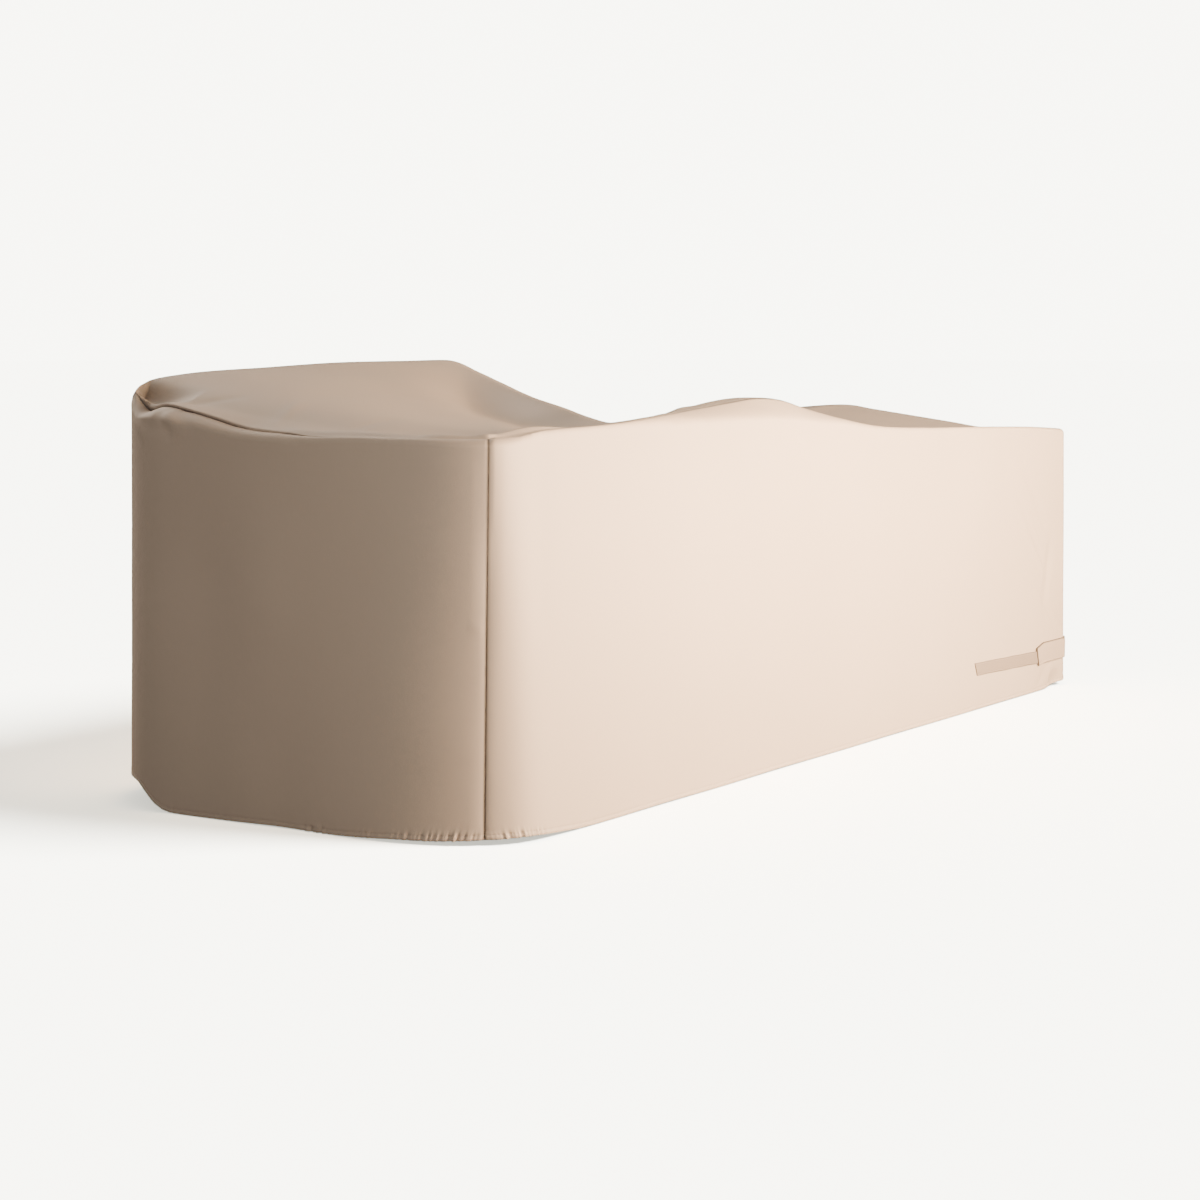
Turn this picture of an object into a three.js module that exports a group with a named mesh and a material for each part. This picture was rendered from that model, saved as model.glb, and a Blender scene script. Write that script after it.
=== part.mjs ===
// A fitted cloth cover for a chaise lounge: a top panel, four wall panels, a fastening strip
// and a corner tab. Millimetres, +Z up. The origin is the middle of the plan, at the hem.
// +X runs along the length towards the low foot end, +Y from the near side to the far side.
import * as THREE from 'three';

// Driving dimensions
const coverLength = 2182;
const coverWidth = 800;
const clothThickness = 1.6;
const hemThickness = 2.6;
const hemDepth = 12;
const seamGap = 0.45;
const wallSeamGap = 0.18;
const foldDrop = 9;
const seamSettle = 0.02;

const alongCells = 42;
const acrossCells = 20;
const stripCells = 8;
const crowding = { along: 0.62, across: 0.55 };
const leastCellShare = 0.005;
const middleHeight = 200;

// Top seams. The distance runs along the side from its low corner, the inset is measured
// from the side's outer plane, and the fold is the soft edge of the wall below the seam.
const nearSeam = [
  { at: 42, height: 604, inset: 30, fold: 599 },
  { at: 90, height: 607, inset: 12, fold: 603 },
  { at: 150, height: 613, inset: 8, fold: 611 },
  { at: 220, height: 615, inset: 8, fold: 613.5 },
  { at: 300, height: 616, inset: 8, fold: 614.5 },
  { at: 380, height: 618.5, inset: 9, fold: 616.5 },
  { at: 440, height: 622, inset: 12, fold: 618 },
  { at: 500, height: 625, inset: 16, fold: 618 },
  { at: 635, height: 632, inset: 35, fold: 618 },
  { at: 710, height: 636.5, inset: 41, fold: 618 },
  { at: 788, height: 641.5, inset: 45, fold: 618 },
  { at: 872, height: 646, inset: 48, fold: 616 },
  { at: 960, height: 641, inset: 46, fold: 612 },
  { at: 1050, height: 622, inset: 38, fold: 604 },
  { at: 1130, height: 605, inset: 22, fold: 599 },
  { at: 1271, height: 585, inset: 11, fold: 583 },
  { at: 1487, height: 575, inset: 9, fold: 573 },
  { at: 1721, height: 569, inset: 9, fold: 567 },
  { at: 2000, height: 560, inset: 10, fold: 558 },
  { at: 2163, height: 551, inset: 16, fold: 548 },
];
const headSeam = [
  { at: 30, height: 604, inset: 42, fold: 599 },
  { at: 120, height: 603, inset: 11, fold: 602 },
  { at: 200, height: 603, inset: 7, fold: 602 },
  { at: 266, height: 603, inset: 6, fold: 602 },
  { at: 337, height: 602, inset: 9, fold: 600 },
  { at: 387, height: 605, inset: 14, fold: 600 },
  { at: 459, height: 608, inset: 18, fold: 602 },
  { at: 490, height: 612, inset: 20, fold: 605 },
  { at: 545, height: 624, inset: 24, fold: 615 },
  { at: 600, height: 635, inset: 28, fold: 624 },
  { at: 659, height: 642, inset: 37, fold: 631 },
  { at: 697, height: 634, inset: 45, fold: 631 },
  { at: 722, height: 647, inset: 50, fold: 639 },
  { at: 745, height: 665, inset: 57, fold: 650 },
];
const farSeam = [
  { at: 57, height: 665, inset: 55, fold: 650 },
  { at: 85, height: 675, inset: 42, fold: 660 },
  { at: 120, height: 680, inset: 30, fold: 665 },
  { at: 240, height: 686, inset: 17, fold: 674 },
  { at: 477, height: 695, inset: 14, fold: 684 },
  { at: 798, height: 699, inset: 14, fold: 688 },
  { at: 960, height: 694, inset: 14, fold: 684 },
  { at: 1125, height: 650, inset: 14, fold: 643 },
  { at: 1373, height: 584, inset: 13, fold: 579 },
  { at: 1510, height: 560, inset: 13, fold: 555 },
  { at: 1700, height: 556, inset: 13, fold: 551 },
  { at: 1950, height: 566, inset: 14, fold: 560 },
  { at: 2150, height: 574, inset: 34, fold: 566 },
];
const footSeam = [
  { at: 16, height: 551, inset: 19, fold: 548 },
  { at: 90, height: 551, inset: 15, fold: 547 },
  { at: 188, height: 549, inset: 13, fold: 545 },
  { at: 272, height: 560, inset: 14, fold: 553 },
  { at: 370, height: 573, inset: 15, fold: 564 },
  { at: 469, height: 586, inset: 16, fold: 575 },
  { at: 520, height: 593, inset: 16, fold: 581 },
  { at: 622, height: 586, inset: 15, fold: 576 },
  { at: 710, height: 580, inset: 16, fold: 571 },
  { at: 766, height: 574, inset: 32, fold: 566 },
];

// Height of the crest that runs along the far side of the top, over the head half.
const farCrest = [
  { at: 60, height: 666 },
  { at: 100, height: 680 },
  { at: 166, height: 690 },
  { at: 240, height: 697 },
  { at: 396, height: 702 },
  { at: 604, height: 709 },
  { at: 798, height: 710 },
  { at: 973, height: 711 },
  { at: 1400, height: 706 },
];

// Vertical corner seams, by their distance from the square corner along the length and
// the width, at the fold and at the hem, how far from that corner each wall starts to turn, and
// the power with which the turning grows towards the seam.
const cornerTop = { height: 600, ease: 1.1 };
const corners = {
  nearHead: {
    power: 3.2,
    top: { along: 28, across: 20, reachAlong: 100, reachAcross: 200 },
    hem: { along: 60, across: 50, reachAlong: 180, reachAcross: 320 },
  },
  farHead: {
    power: 2.4,
    top: { along: 52, across: 52, reachAlong: 180, reachAcross: 172 },
    hem: { along: 52, across: 52, reachAlong: 180, reachAcross: 172 },
  },
  nearFoot: {
    power: 2.4,
    top: { along: 11, across: 11, reachAlong: 44, reachAcross: 44 },
    hem: { along: 11, across: 11, reachAlong: 44, reachAcross: 44 },
  },
  farFoot: {
    power: 2.4,
    top: { along: 24, across: 24, reachAlong: 80, reachAcross: 80 },
    hem: { along: 34, across: 34, reachAlong: 120, reachAcross: 120 },
  },
};

// The top: a taut crest crosses it from the far side to the near side, a trough lies beside the
// crest towards the head, a soft valley crosses the head half, and the low middle hangs between
// the sides.
const nearEdge = 20;
const farEdge = 765;
const crestFar = { along: 973, across: 765, height: 707 };
const crestNear = { along: 415, across: 46, height: 617 };
const crestSag = 11;
const crestFall = 0.4;
const crestRound = 9;
const trough = { depth: 26, away: 86, reach: 76, fullUntil: 0.35, gone: 0.95 };
const valleyStart = { along: 50, across: 30 };
const valleyDepth = 21;
const valleyReach = { head: 230, foot: 105, power: 1.4 };
const basinHeight = 553;
const basinRound = 16;
const bodyBelowSeam = 4;
const bodyLevelFrom = 380;
const footRise = { from: 1250, to: 2120, aboveSeam: 5 };
const shoulder = { at: 760, halfLength: 260, width: 30 };
const pulls = {
  head: { reach: 62, power: 1.6 },
  foot: { reach: 50, power: 1.6 },
  far: { reach: 28, power: 1.8 },
  near: { reach: 42, shoulderReach: 88, power: 1.8 },
};

// Fastening strip and corner tab, on the near wall beside the foot
const stripStart = 1690;
const stripEnd = 2078;
const stripWidth = 26;
const stripHeight = 82;
const stripFall = 11;
const stripSlant = 0.45;
const stripThickness = 1.1;
const tabReach = 182;
const tabSlant = 10;
const tabRoot = 62;
const tabThickness = 1.5;
const tabFront = { low: 54, high: 94 };
const tabCorner = { low: 58, high: 102 };
const tabWidening = 40;
const tabSteps = [0, 12, 28, 52, 84];
const tabClosing = 20;
const tabLift = 1.95;
const skinGap = 0.45;

const colours = {
  cloth: 0xd9c8b8,
  strip: 0xb9a798,
  tab: 0xcdbcab,
};

const lerp = (a, b, t) => a + (b - a) * t;
const clamp01 = (t) => Math.min(1, Math.max(0, t));
const hill = (x, middle, halfWidth) => Math.exp(-(((x - middle) / halfWidth) ** 2));

function smoothStep(from, to, x) {
  const t = clamp01((x - from) / (to - from));
  return t * t * (3 - 2 * t);
}

// Smooth curve through a table's rows, read from one named column.
function readTable(rows, x, column) {
  const last = rows.length - 1;
  let i = 0;
  while (i < last - 1 && x > rows[i + 1].at) i += 1;
  const slope = (k) => {
    const a = rows[Math.max(0, k - 1)];
    const b = rows[Math.min(last, k + 1)];
    return (b[column] - a[column]) / (b.at - a.at);
  };
  const span = rows[i + 1].at - rows[i].at;
  const t = clamp01((x - rows[i].at) / span);
  const t2 = t * t;
  const t3 = t2 * t;
  return (2 * t3 - 3 * t2 + 1) * rows[i][column] + (t3 - 2 * t2 + t) * span * slope(i)
    + (3 * t2 - 2 * t3) * rows[i + 1][column] + (t3 - t2) * span * slope(i + 1);
}

// Falls from one to nothing over a reach, more steeply with a higher power.
const fade = (distance, { reach, power }) => Math.exp(-((Math.max(0, distance) / reach) ** power));

// Smaller or larger of two heights, with the corner between them rounded.
function roundedMin(a, b, radius) {
  const h = clamp01(0.5 + (0.5 * (b - a)) / radius);
  return lerp(b, a, h) - radius * h * (1 - h);
}

const roundedMax = (a, b, radius) => -roundedMin(-a, -b, radius);

// Signed distance from the plan line between two points, positive towards the foot.
function lineDistance(from, to, along, across) {
  const dx = to.along - from.along;
  const dy = to.across - from.across;
  const size = Math.hypot(dx, dy);
  return ((along - from.along) * dy - (across - from.across) * dx) / size;
}

// Height of the top between its seams.
function bodyOfTop(along, across) {
  const nearLine = readTable(nearSeam, Math.min(along, bodyLevelFrom), 'height') - bodyBelowSeam;
  const rise = (across - nearEdge) / (farEdge - nearEdge);
  const head = lerp(nearLine, readTable(farCrest, along, 'height'), rise);
  const fromValley = lineDistance(valleyStart, crestFar, along, across);
  const reach = fromValley < 0 ? valleyReach.head : valleyReach.foot;
  const place = clamp01((across - valleyStart.across) / (crestFar.across - valleyStart.across));
  const beside = fade(Math.abs(fromValley), { reach, power: valleyReach.power });
  const valley = valleyDepth * Math.sin(Math.PI * place) * beside;
  const fromCrest = lineDistance(crestNear, crestFar, along, across);
  const crestPlace = (across - crestNear.across) / (crestFar.across - crestNear.across);
  const sag = crestSag * Math.sin(Math.PI * clamp01(crestPlace));
  const crest = lerp(crestNear.height, crestFar.height, crestPlace) - sag;
  const slope = crest - crestFall * fromCrest;
  const inTrough = ((fromCrest + trough.away) / trough.reach) ** 2;
  const fading = smoothStep(trough.gone, trough.fullUntil, crestPlace);
  const dip = trough.depth * Math.exp(-inTrough) * fading;
  const headSide = roundedMin(head - valley - dip, slope, crestRound);
  const toFoot = smoothStep(footRise.from, footRise.to, along);
  const foot = readTable(footSeam, across, 'height') + footRise.aboveSeam;
  const low = lerp(basinHeight, foot, toFoot);
  return roundedMax(headSide, low, basinRound);
}

// Height of the top: its body, drawn to each seam within a short reach of it.
function topHeight(along, across) {
  const headPull = fade(along, pulls.head);
  const footPull = fade(coverLength - along, pulls.foot);
  const farPull = fade(coverWidth - across, pulls.far);
  const ends = (x, y) => {
    const body = bodyOfTop(x, y);
    const toHead = headPull * (readTable(headSeam, y, 'height') - body);
    const toFoot = footPull * (readTable(footSeam, y, 'height') - body);
    return body + toHead + toFoot;
  };
  const nearY = readTable(nearSeam, along, 'inset');
  const hump = hill(along, shoulder.at, shoulder.halfLength);
  const nearFlat = nearY + shoulder.width * hump;
  const reach = lerp(pulls.near.reach, pulls.near.shoulderReach, hump);
  const nearPull = fade(across - nearFlat, { reach, power: pulls.near.power });
  const farY = coverWidth - readTable(farSeam, along, 'inset');
  const toFar = readTable(farSeam, along, 'height') - ends(along, farY);
  const inner = ends(along, across) + farPull * toFar;
  return lerp(inner, readTable(nearSeam, along, 'height'), nearPull);
}

// Uneven spacing, closer towards both ends, where the walls turn.
function spacing(cells, crowd) {
  return Array.from({ length: cells + 1 }, (_, i) => {
    const t = i / cells;
    return t - (crowd * Math.sin(2 * Math.PI * t)) / (2 * Math.PI);
  });
}

const alongSteps = spacing(alongCells, crowding.along);
const acrossSteps = spacing(acrossCells, crowding.across);

// One corner's numbers at a height: the fold's at the top, the hem's at the bottom.
function cornerAt(corner, height) {
  const t = clamp01(height / cornerTop.height) ** cornerTop.ease;
  const { top, hem, power } = corners[corner];
  return {
    power,
    along: lerp(hem.along, top.along, t),
    across: lerp(hem.across, top.across, t),
    reachAlong: lerp(hem.reachAlong, top.reachAlong, t),
    reachAcross: lerp(hem.reachAcross, top.reachAcross, t),
  };
}

// How far a wall turns in near a corner, at a distance along the wall from that corner.
function turnIn(distance, start, reach, depth, power) {
  const t = clamp01((distance - start) / (reach - start));
  return depth * (1 - t) ** power;
}

// The four sides. Each gives its seam table, its corners, its length, and the place in
// plan of a point at a distance along it and a depth in from its outer plane.
const sides = {
  near: {
    seam: nearSeam,
    first: 'nearHead',
    second: 'nearFoot',
    along: true,
    length: coverLength,
    place: (at, depth) => [at, depth],
  },
  far: {
    seam: farSeam,
    first: 'farHead',
    second: 'farFoot',
    along: true,
    length: coverLength,
    place: (at, depth) => [at, coverWidth - depth],
  },
  head: {
    seam: headSeam,
    first: 'nearHead',
    second: 'farHead',
    along: false,
    length: coverWidth,
    place: (at, depth) => [depth, at],
  },
  foot: {
    seam: footSeam,
    first: 'nearFoot',
    second: 'farFoot',
    along: false,
    length: coverWidth,
    place: (at, depth) => [coverLength - depth, at],
  },
};

// Soft folds of each wall. The push is outwards, at its most beside the middle line, which
// leans along the wall with height. The heights are where the fold starts, is full from,
// is full to, and ends; a start below the ground lets a fold run out at the hem.
const folds = {
  near: [
    { push: 5, at: 640, lean: 0, halfWidth: 330, heights: [0, 290, 310, 600] },
    { push: -7, at: 2105, lean: 0, halfWidth: 34, heights: [-20, -10, 8, 46] },
    { push: -3.5, at: 2009, lean: 0.22, halfWidth: 16, heights: [120, 235, 245, 360] },
  ],
  head: [
    { push: -5, at: 545, lean: 0, halfWidth: 60, heights: [-90, 290, 310, 560] },
    { push: 3, at: 430, lean: 0, halfWidth: 55, heights: [80, 400, 410, 560] },
    { push: -5, at: 385, lean: 0, halfWidth: 70, heights: [-170, 30, 50, 250] },
  ],
  far: [
    { push: 4, at: 700, lean: 0, halfWidth: 300, heights: [0, 320, 340, 640] },
    { push: -5, at: 1300, lean: 0, halfWidth: 120, heights: [-60, 290, 310, 540] },
  ],
  foot: [
    { push: 4, at: 520, lean: 0, halfWidth: 120, heights: [0, 290, 310, 520] },
  ],
};

function foldPush(name, at, z) {
  return folds[name].reduce((sum, fold) => {
    const [start, fullFrom, fullTo, end] = fold.heights;
    const strength = smoothStep(start, fullFrom, z) * smoothStep(end, fullTo, z);
    return sum + fold.push * strength * hill(at, fold.at + fold.lean * z, fold.halfWidth);
  }, 0);
}

// Height of the hem above the ground on each side.
const hems = {
  near: [
    { at: 42, height: 7.7 },
    { at: 80, height: 8.9 },
    { at: 112, height: 8.4 },
    { at: 165, height: 5 },
    { at: 235, height: 1.1 },
    { at: 330, height: 0.2 },
    { at: 480, height: 1.3 },
    { at: 640, height: 0.2 },
    { at: 860, height: 1.2 },
    { at: 1080, height: 0.3 },
    { at: 1300, height: 1.2 },
    { at: 1560, height: 0.2 },
    { at: 1840, height: 1 },
    { at: 2030, height: 0.8 },
    { at: 2095, height: 5 },
    { at: 2163, height: 9 },
  ],
  far: [
    { at: 57, height: 45 },
    { at: 160, height: 39 },
    { at: 300, height: 26 },
    { at: 420, height: 20 },
    { at: 900, height: 20 },
    { at: 1300, height: 10 },
    { at: 1700, height: 0 },
    { at: 2150, height: 0 },
  ],
  head: [
    { at: 30, height: 7.7 },
    { at: 60, height: 6.4 },
    { at: 105, height: 4.8 },
    { at: 165, height: 4 },
    { at: 225, height: 1.5 },
    { at: 290, height: 0.2 },
    { at: 400, height: 1.1 },
    { at: 510, height: 0.3 },
    { at: 590, height: 0.2 },
    { at: 620, height: 2.4 },
    { at: 645, height: 12 },
    { at: 670, height: 28 },
    { at: 695, height: 41 },
    { at: 745, height: 45 },
  ],
  foot: [
    { at: 16, height: 9 },
    { at: 60, height: 7.6 },
    { at: 110, height: 3.2 },
    { at: 170, height: 0 },
    { at: 766, height: 0 },
  ],
};

// A point of a wall below its fold, at a share of its length and a height.
function wallPoint(name, share, z) {
  const side = sides[name];
  const a = cornerAt(side.first, z);
  const b = cornerAt(side.second, z);
  const start = side.along ? a.along : a.across;
  const end = side.along ? b.along : b.across;
  const at = lerp(start, side.length - end, share);
  const depthA = side.along ? a.across : a.along;
  const depthB = side.along ? b.across : b.along;
  const reachA = side.along ? a.reachAlong : a.reachAcross;
  const reachB = side.along ? b.reachAlong : b.reachAcross;
  const turnedA = turnIn(at, start, reachA, depthA, a.power);
  const turnedB = turnIn(side.length - at, end, reachB, depthB, b.power);
  const settle = smoothStep(0, seamSettle, share) * smoothStep(1, 1 - seamSettle, share);
  const [x, y] = side.place(at, turnedA + turnedB - foldPush(name, at, z) * settle);
  return new THREE.Vector3(x, y, z);
}

// The seam's point at a share of its length.
function seamPoint(name, share) {
  const { seam, place } = sides[name];
  const at = lerp(seam[0].at, seam[seam.length - 1].at, share);
  const [x, y] = place(at, readTable(seam, at, 'inset'));
  return new THREE.Vector3(x, y, readTable(seam, at, 'height'));
}

// One column of a wall, from its top seam over the rolled fold down to the hem.
const rollSteps = [0, 0.3, 0.62, 1];
const dropSteps = [0.13, 0.29, 0.46, 0.63, 0.79, 0.91];
function wallColumn(name, share) {
  const { seam } = sides[name];
  const seamAt = lerp(seam[0].at, seam[seam.length - 1].at, share);
  const fold = readTable(seam, seamAt, 'fold');
  const top = seamPoint(name, share);
  const knee = wallPoint(name, share, fold + 2);
  const below = wallPoint(name, share, fold - foldDrop);
  const roll = new THREE.QuadraticBezierCurve3(top, knee, below);
  const column = rollSteps.map((t) => roll.getPoint(t));
  const bottom = Math.max(0, readTable(hems[name], seamAt, 'height'));
  for (const step of dropSteps) {
    column.push(wallPoint(name, share, lerp(fold - foldDrop, bottom + hemDepth, step)));
  }
  column.push(wallPoint(name, share, bottom + hemDepth));
  column.push(wallPoint(name, share, bottom));
  return column;
}

// Directions across the cloth at a grid's points, from the points beside each of them.
function gridNormals(grid) {
  const rows = grid.length;
  const columns = grid[0].length;
  return grid.map((row, i) => row.map((_, j) => {
    const down = grid[Math.min(rows - 1, i + 1)][j].clone().sub(grid[Math.max(0, i - 1)][j]);
    const side = grid[i][Math.min(columns - 1, j + 1)].clone().sub(grid[i][Math.max(0, j - 1)]);
    return down.cross(side).normalize();
  }));
}

// A closed sheet from a grid of points on its outer face and one on its inner face.
function closedSheet(outer, inner) {
  const rows = outer.length;
  const columns = outer[0].length;
  const half = rows * columns;
  const positions = [...outer.flat(), ...inner.flat()].flatMap((p) => [p.x, p.y, p.z]);
  const index = [];
  const quad = (a, b, c, d) => index.push(a, b, c, a, c, d);
  for (let i = 0; i < rows - 1; i += 1) {
    for (let j = 0; j < columns - 1; j += 1) {
      const a = i * columns + j;
      quad(a, a + columns, a + columns + 1, a + 1);
      quad(half + a, half + a + 1, half + a + columns + 1, half + a + columns);
    }
  }
  const rim = [];
  for (let j = 0; j < columns - 1; j += 1) rim.push(j);
  for (let i = 0; i < rows - 1; i += 1) rim.push(i * columns + columns - 1);
  for (let j = columns - 1; j > 0; j -= 1) rim.push((rows - 1) * columns + j);
  for (let i = rows - 1; i > 0; i -= 1) rim.push(i * columns);
  rim.forEach((a, k) => {
    const b = rim[(k + 1) % rim.length];
    quad(a, b, half + b, half + a);
  });
  const geometry = new THREE.BufferGeometry();
  geometry.setAttribute('position', new THREE.Float32BufferAttribute(positions, 3));
  geometry.setIndex(index);
  geometry.translate(-coverLength / 2, -coverWidth / 2, 0);
  return facingOut(geometry);
}

// Turns every triangle over when the closed shape's volume comes out negative.
function facingOut(geometry) {
  const p = geometry.getAttribute('position');
  const index = Array.from(geometry.getIndex().array);
  const [a, b, c] = [new THREE.Vector3(), new THREE.Vector3(), new THREE.Vector3()];
  let volume = 0;
  for (let i = 0; i < index.length; i += 3) {
    a.fromBufferAttribute(p, index[i]);
    b.fromBufferAttribute(p, index[i + 1]);
    c.fromBufferAttribute(p, index[i + 2]);
    volume += a.dot(b.cross(c)) / 6;
  }
  if (volume < 0) {
    for (let i = 0; i < index.length; i += 3) [index[i + 1], index[i + 2]] = [index[i + 2], index[i + 1]];
    geometry.setIndex(index);
  }
  geometry.computeVertexNormals();
  return geometry;
}

// Inner faces lie one thickness in. At a shared seam both panels use the seam's own
// direction, so that their edges lie side by side.
const coverMiddle = new THREE.Vector3(coverLength / 2, coverWidth / 2, middleHeight);

function innerGrid(outer, thicknessAt, edgeDirection) {
  const normals = gridNormals(outer);
  return outer.map((row, i) => row.map((p, j) => {
    const inward = coverMiddle.clone().sub(p);
    const normal = normals[i][j];
    if (normal.dot(inward) < 0) normal.negate();
    const direction = edgeDirection(i, j) ?? normal;
    return p.clone().addScaledVector(direction, thicknessAt(i));
  }));
}

const inwards = {
  near: new THREE.Vector3(0, 1, 0),
  far: new THREE.Vector3(0, -1, 0),
  head: new THREE.Vector3(1, 0, 0),
  foot: new THREE.Vector3(-1, 0, 0),
};

const cornerSides = {
  nearHead: ['near', 'head'],
  farHead: ['far', 'head'],
  nearFoot: ['near', 'foot'],
  farFoot: ['far', 'foot'],
};

function cornerInwards(corner) {
  const [a, b] = cornerSides[corner];
  return inwards[a].clone().add(inwards[b]).normalize();
}

const leanDown = (direction) => direction.clone().add(new THREE.Vector3(0, 0, -1)).normalize();

function wallPanel(name) {
  const side = sides[name];
  const steps = side.along ? alongSteps : acrossSteps;
  const columns = steps.map((share) => wallColumn(name, share));
  const rows = columns[0].length;
  const last = columns.length - 1;
  const grid = columns[0].map((_, i) => columns.map((column) => column[i]));
  for (const row of grid) {
    const startShift = row[1].clone().sub(row[0]).setLength(wallSeamGap);
    const endShift = row[last - 1].clone().sub(row[last]).setLength(wallSeamGap);
    row[0].add(startShift);
    row[last].add(endShift);
  }
  const edgeDirection = (i, j) => {
    const atCorner = j === 0 ? side.first : j === last ? side.second : null;
    if (i === 0) return leanDown(atCorner ? cornerInwards(atCorner) : inwards[name]);
    return atCorner ? cornerInwards(atCorner) : null;
  };
  const thicknessAt = (i) => (i === rows - 1 ? hemThickness : clothThickness);
  return closedSheet(grid, innerGrid(grid, thicknessAt, edgeDirection));
}

// The top panel fills the loop of its four seams. Plan places blend between opposite seams.
function topPanel() {
  const cornerPoints = ['near', 'far'].flatMap((name) => [seamPoint(name, 0), seamPoint(name, 1)]);
  const grid = acrossSteps.map((v) => alongSteps.map((u) => {
    const low = seamPoint('near', u);
    const high = seamPoint('far', u);
    const left = seamPoint('head', v);
    const right = seamPoint('foot', v);
    const blend = (axis) => {
      const [a, b, c, d] = cornerPoints.map((point) => point[axis]);
      const sidesMean = lerp(low[axis], high[axis], v) + lerp(left[axis], right[axis], u);
      return sidesMean - lerp(lerp(a, b, u), lerp(c, d, u), v);
    };
    const x = blend('x');
    const y = blend('y');
    return new THREE.Vector3(x, y, topHeight(x, y));
  }));
  const rows = grid.length - 1;
  const columns = grid[0].length - 1;
  alongSteps.forEach((u, j) => {
    grid[0][j].copy(seamPoint('near', u));
    grid[rows][j].copy(seamPoint('far', u));
  });
  acrossSteps.forEach((v, i) => {
    grid[i][0].copy(seamPoint('head', v));
    grid[i][columns].copy(seamPoint('foot', v));
  });
  grid[0].forEach((p) => p.addScaledVector(inwards.near, seamGap));
  grid[rows].forEach((p) => p.addScaledVector(inwards.far, seamGap));
  grid.forEach((row) => {
    row[0].addScaledVector(inwards.head, seamGap);
    row[columns].addScaledVector(inwards.foot, seamGap);
  });
  const edgeDirection = (i, j) => {
    const across = i === 0 ? 'near' : i === rows ? 'far' : null;
    const along = j === 0 ? 'head' : j === columns ? 'foot' : null;
    if (!across && !along) return null;
    if (!across) return leanDown(inwards[along]);
    if (!along) return leanDown(inwards[across]);
    return leanDown(inwards[across].clone().add(inwards[along]).normalize());
  };
  return closedSheet(grid, innerGrid(grid, () => clothThickness, edgeDirection));
}

// A flat band laid on the near wall: its long edges are given by height along the wall.
function fasteningStrip() {
  const faceAt = (lift) => [stripWidth / 2, -stripWidth / 2].map((offset) => (
    Array.from({ length: stripCells + 1 }, (_, k) => {
      const t = k / stripCells;
      const slant = k === 0 ? (stripWidth / 2 - offset) * stripSlant : 0;
      const height = stripHeight - stripFall * t + offset;
      return new THREE.Vector3(lerp(stripStart, stripEnd, t) + slant, -lift, height);
    })
  ));
  return closedSheet(faceAt(skinGap + stripThickness), faceAt(skinGap));
}

// Share of a wall's length at a distance along it, at the strip's height.
function shareAt(name, at) {
  const side = sides[name];
  const a = cornerAt(side.first, stripHeight);
  const b = cornerAt(side.second, stripHeight);
  const start = side.along ? a.along : a.across;
  const end = side.along ? b.along : b.across;
  return (at - start) / (side.length - end - start);
}

// The tab is sewn to the foot wall, comes round the corner and lies over the strip's end.
// It follows the two walls at a lift that closes up to the cloth at its root.
function cornerTab() {
  const front = coverLength - tabReach;
  const nearShares = tabSteps.map((step) => shareAt('near', front + step));
  const lastStep = nearShares[nearShares.length - 1];
  nearShares.push(...alongSteps.filter((u) => u > lastStep + leastCellShare));
  const rootShare = shareAt('foot', tabRoot);
  const footShares = acrossSteps.filter((v) => v > 0 && v < rootShare - leastCellShare);
  footShares.push(rootShare);
  const stations = [
    ...nearShares.map((share) => ({ side: 'near', share })),
    ...footShares.map((share) => ({ side: 'foot', share })),
  ];
  const places = stations.map(({ side, share }) => wallPoint(side, share, stripHeight));
  const outwards = places.map((place, k) => {
    const before = places[Math.max(0, k - 1)];
    const after = places[Math.min(places.length - 1, k + 1)];
    const normal = new THREE.Vector3(after.y - before.y, before.x - after.x, 0).normalize();
    return normal.dot(coverMiddle.clone().sub(place)) > 0 ? normal.negate() : normal;
  });
  const faceAt = (extra) => [1, 0.5, 0].map((level) => stations.map(({ side }, k) => {
    const toCorner = smoothStep(front, front + tabWidening, places[k].x);
    const low = lerp(tabFront.low, tabCorner.low, toCorner);
    const high = lerp(tabFront.high, tabCorner.high, toCorner);
    const closing = side === 'foot' ? smoothStep(tabClosing, tabRoot, places[k].y) : 0;
    const point = places[k].clone().addScaledVector(outwards[k], lerp(tabLift, skinGap, closing) + extra);
    if (k === 0) point.x += tabSlant * (1 - level);
    point.z = lerp(low, high, level);
    return point;
  }));
  return closedSheet(faceAt(tabThickness), faceAt(0));
}

function clothMesh(name, geometry, colour) {
  const material = new THREE.MeshStandardMaterial({ color: colour, roughness: 0.62, metalness: 0 });
  const mesh = new THREE.Mesh(geometry, material);
  mesh.name = name;
  return mesh;
}

const cover = new THREE.Group();
cover.name = 'chaise_lounge_cover';
cover.add(clothMesh('top_panel', topPanel(), colours.cloth));
for (const name of Object.keys(sides)) {
  cover.add(clothMesh(`${name}_panel`, wallPanel(name), colours.cloth));
}
cover.add(clothMesh('fastening_strip', fasteningStrip(), colours.strip));
cover.add(clothMesh('corner_tab', cornerTab(), colours.tab));

export default cover;
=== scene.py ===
# Fitted cloth cover for a chaise lounge, sewn from a top panel, four walls, a loop strip and a tab.
# Tables and distances are millimetres, as a cutter would measure them. Meshes are metres.
import math
from functools import partial

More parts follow.
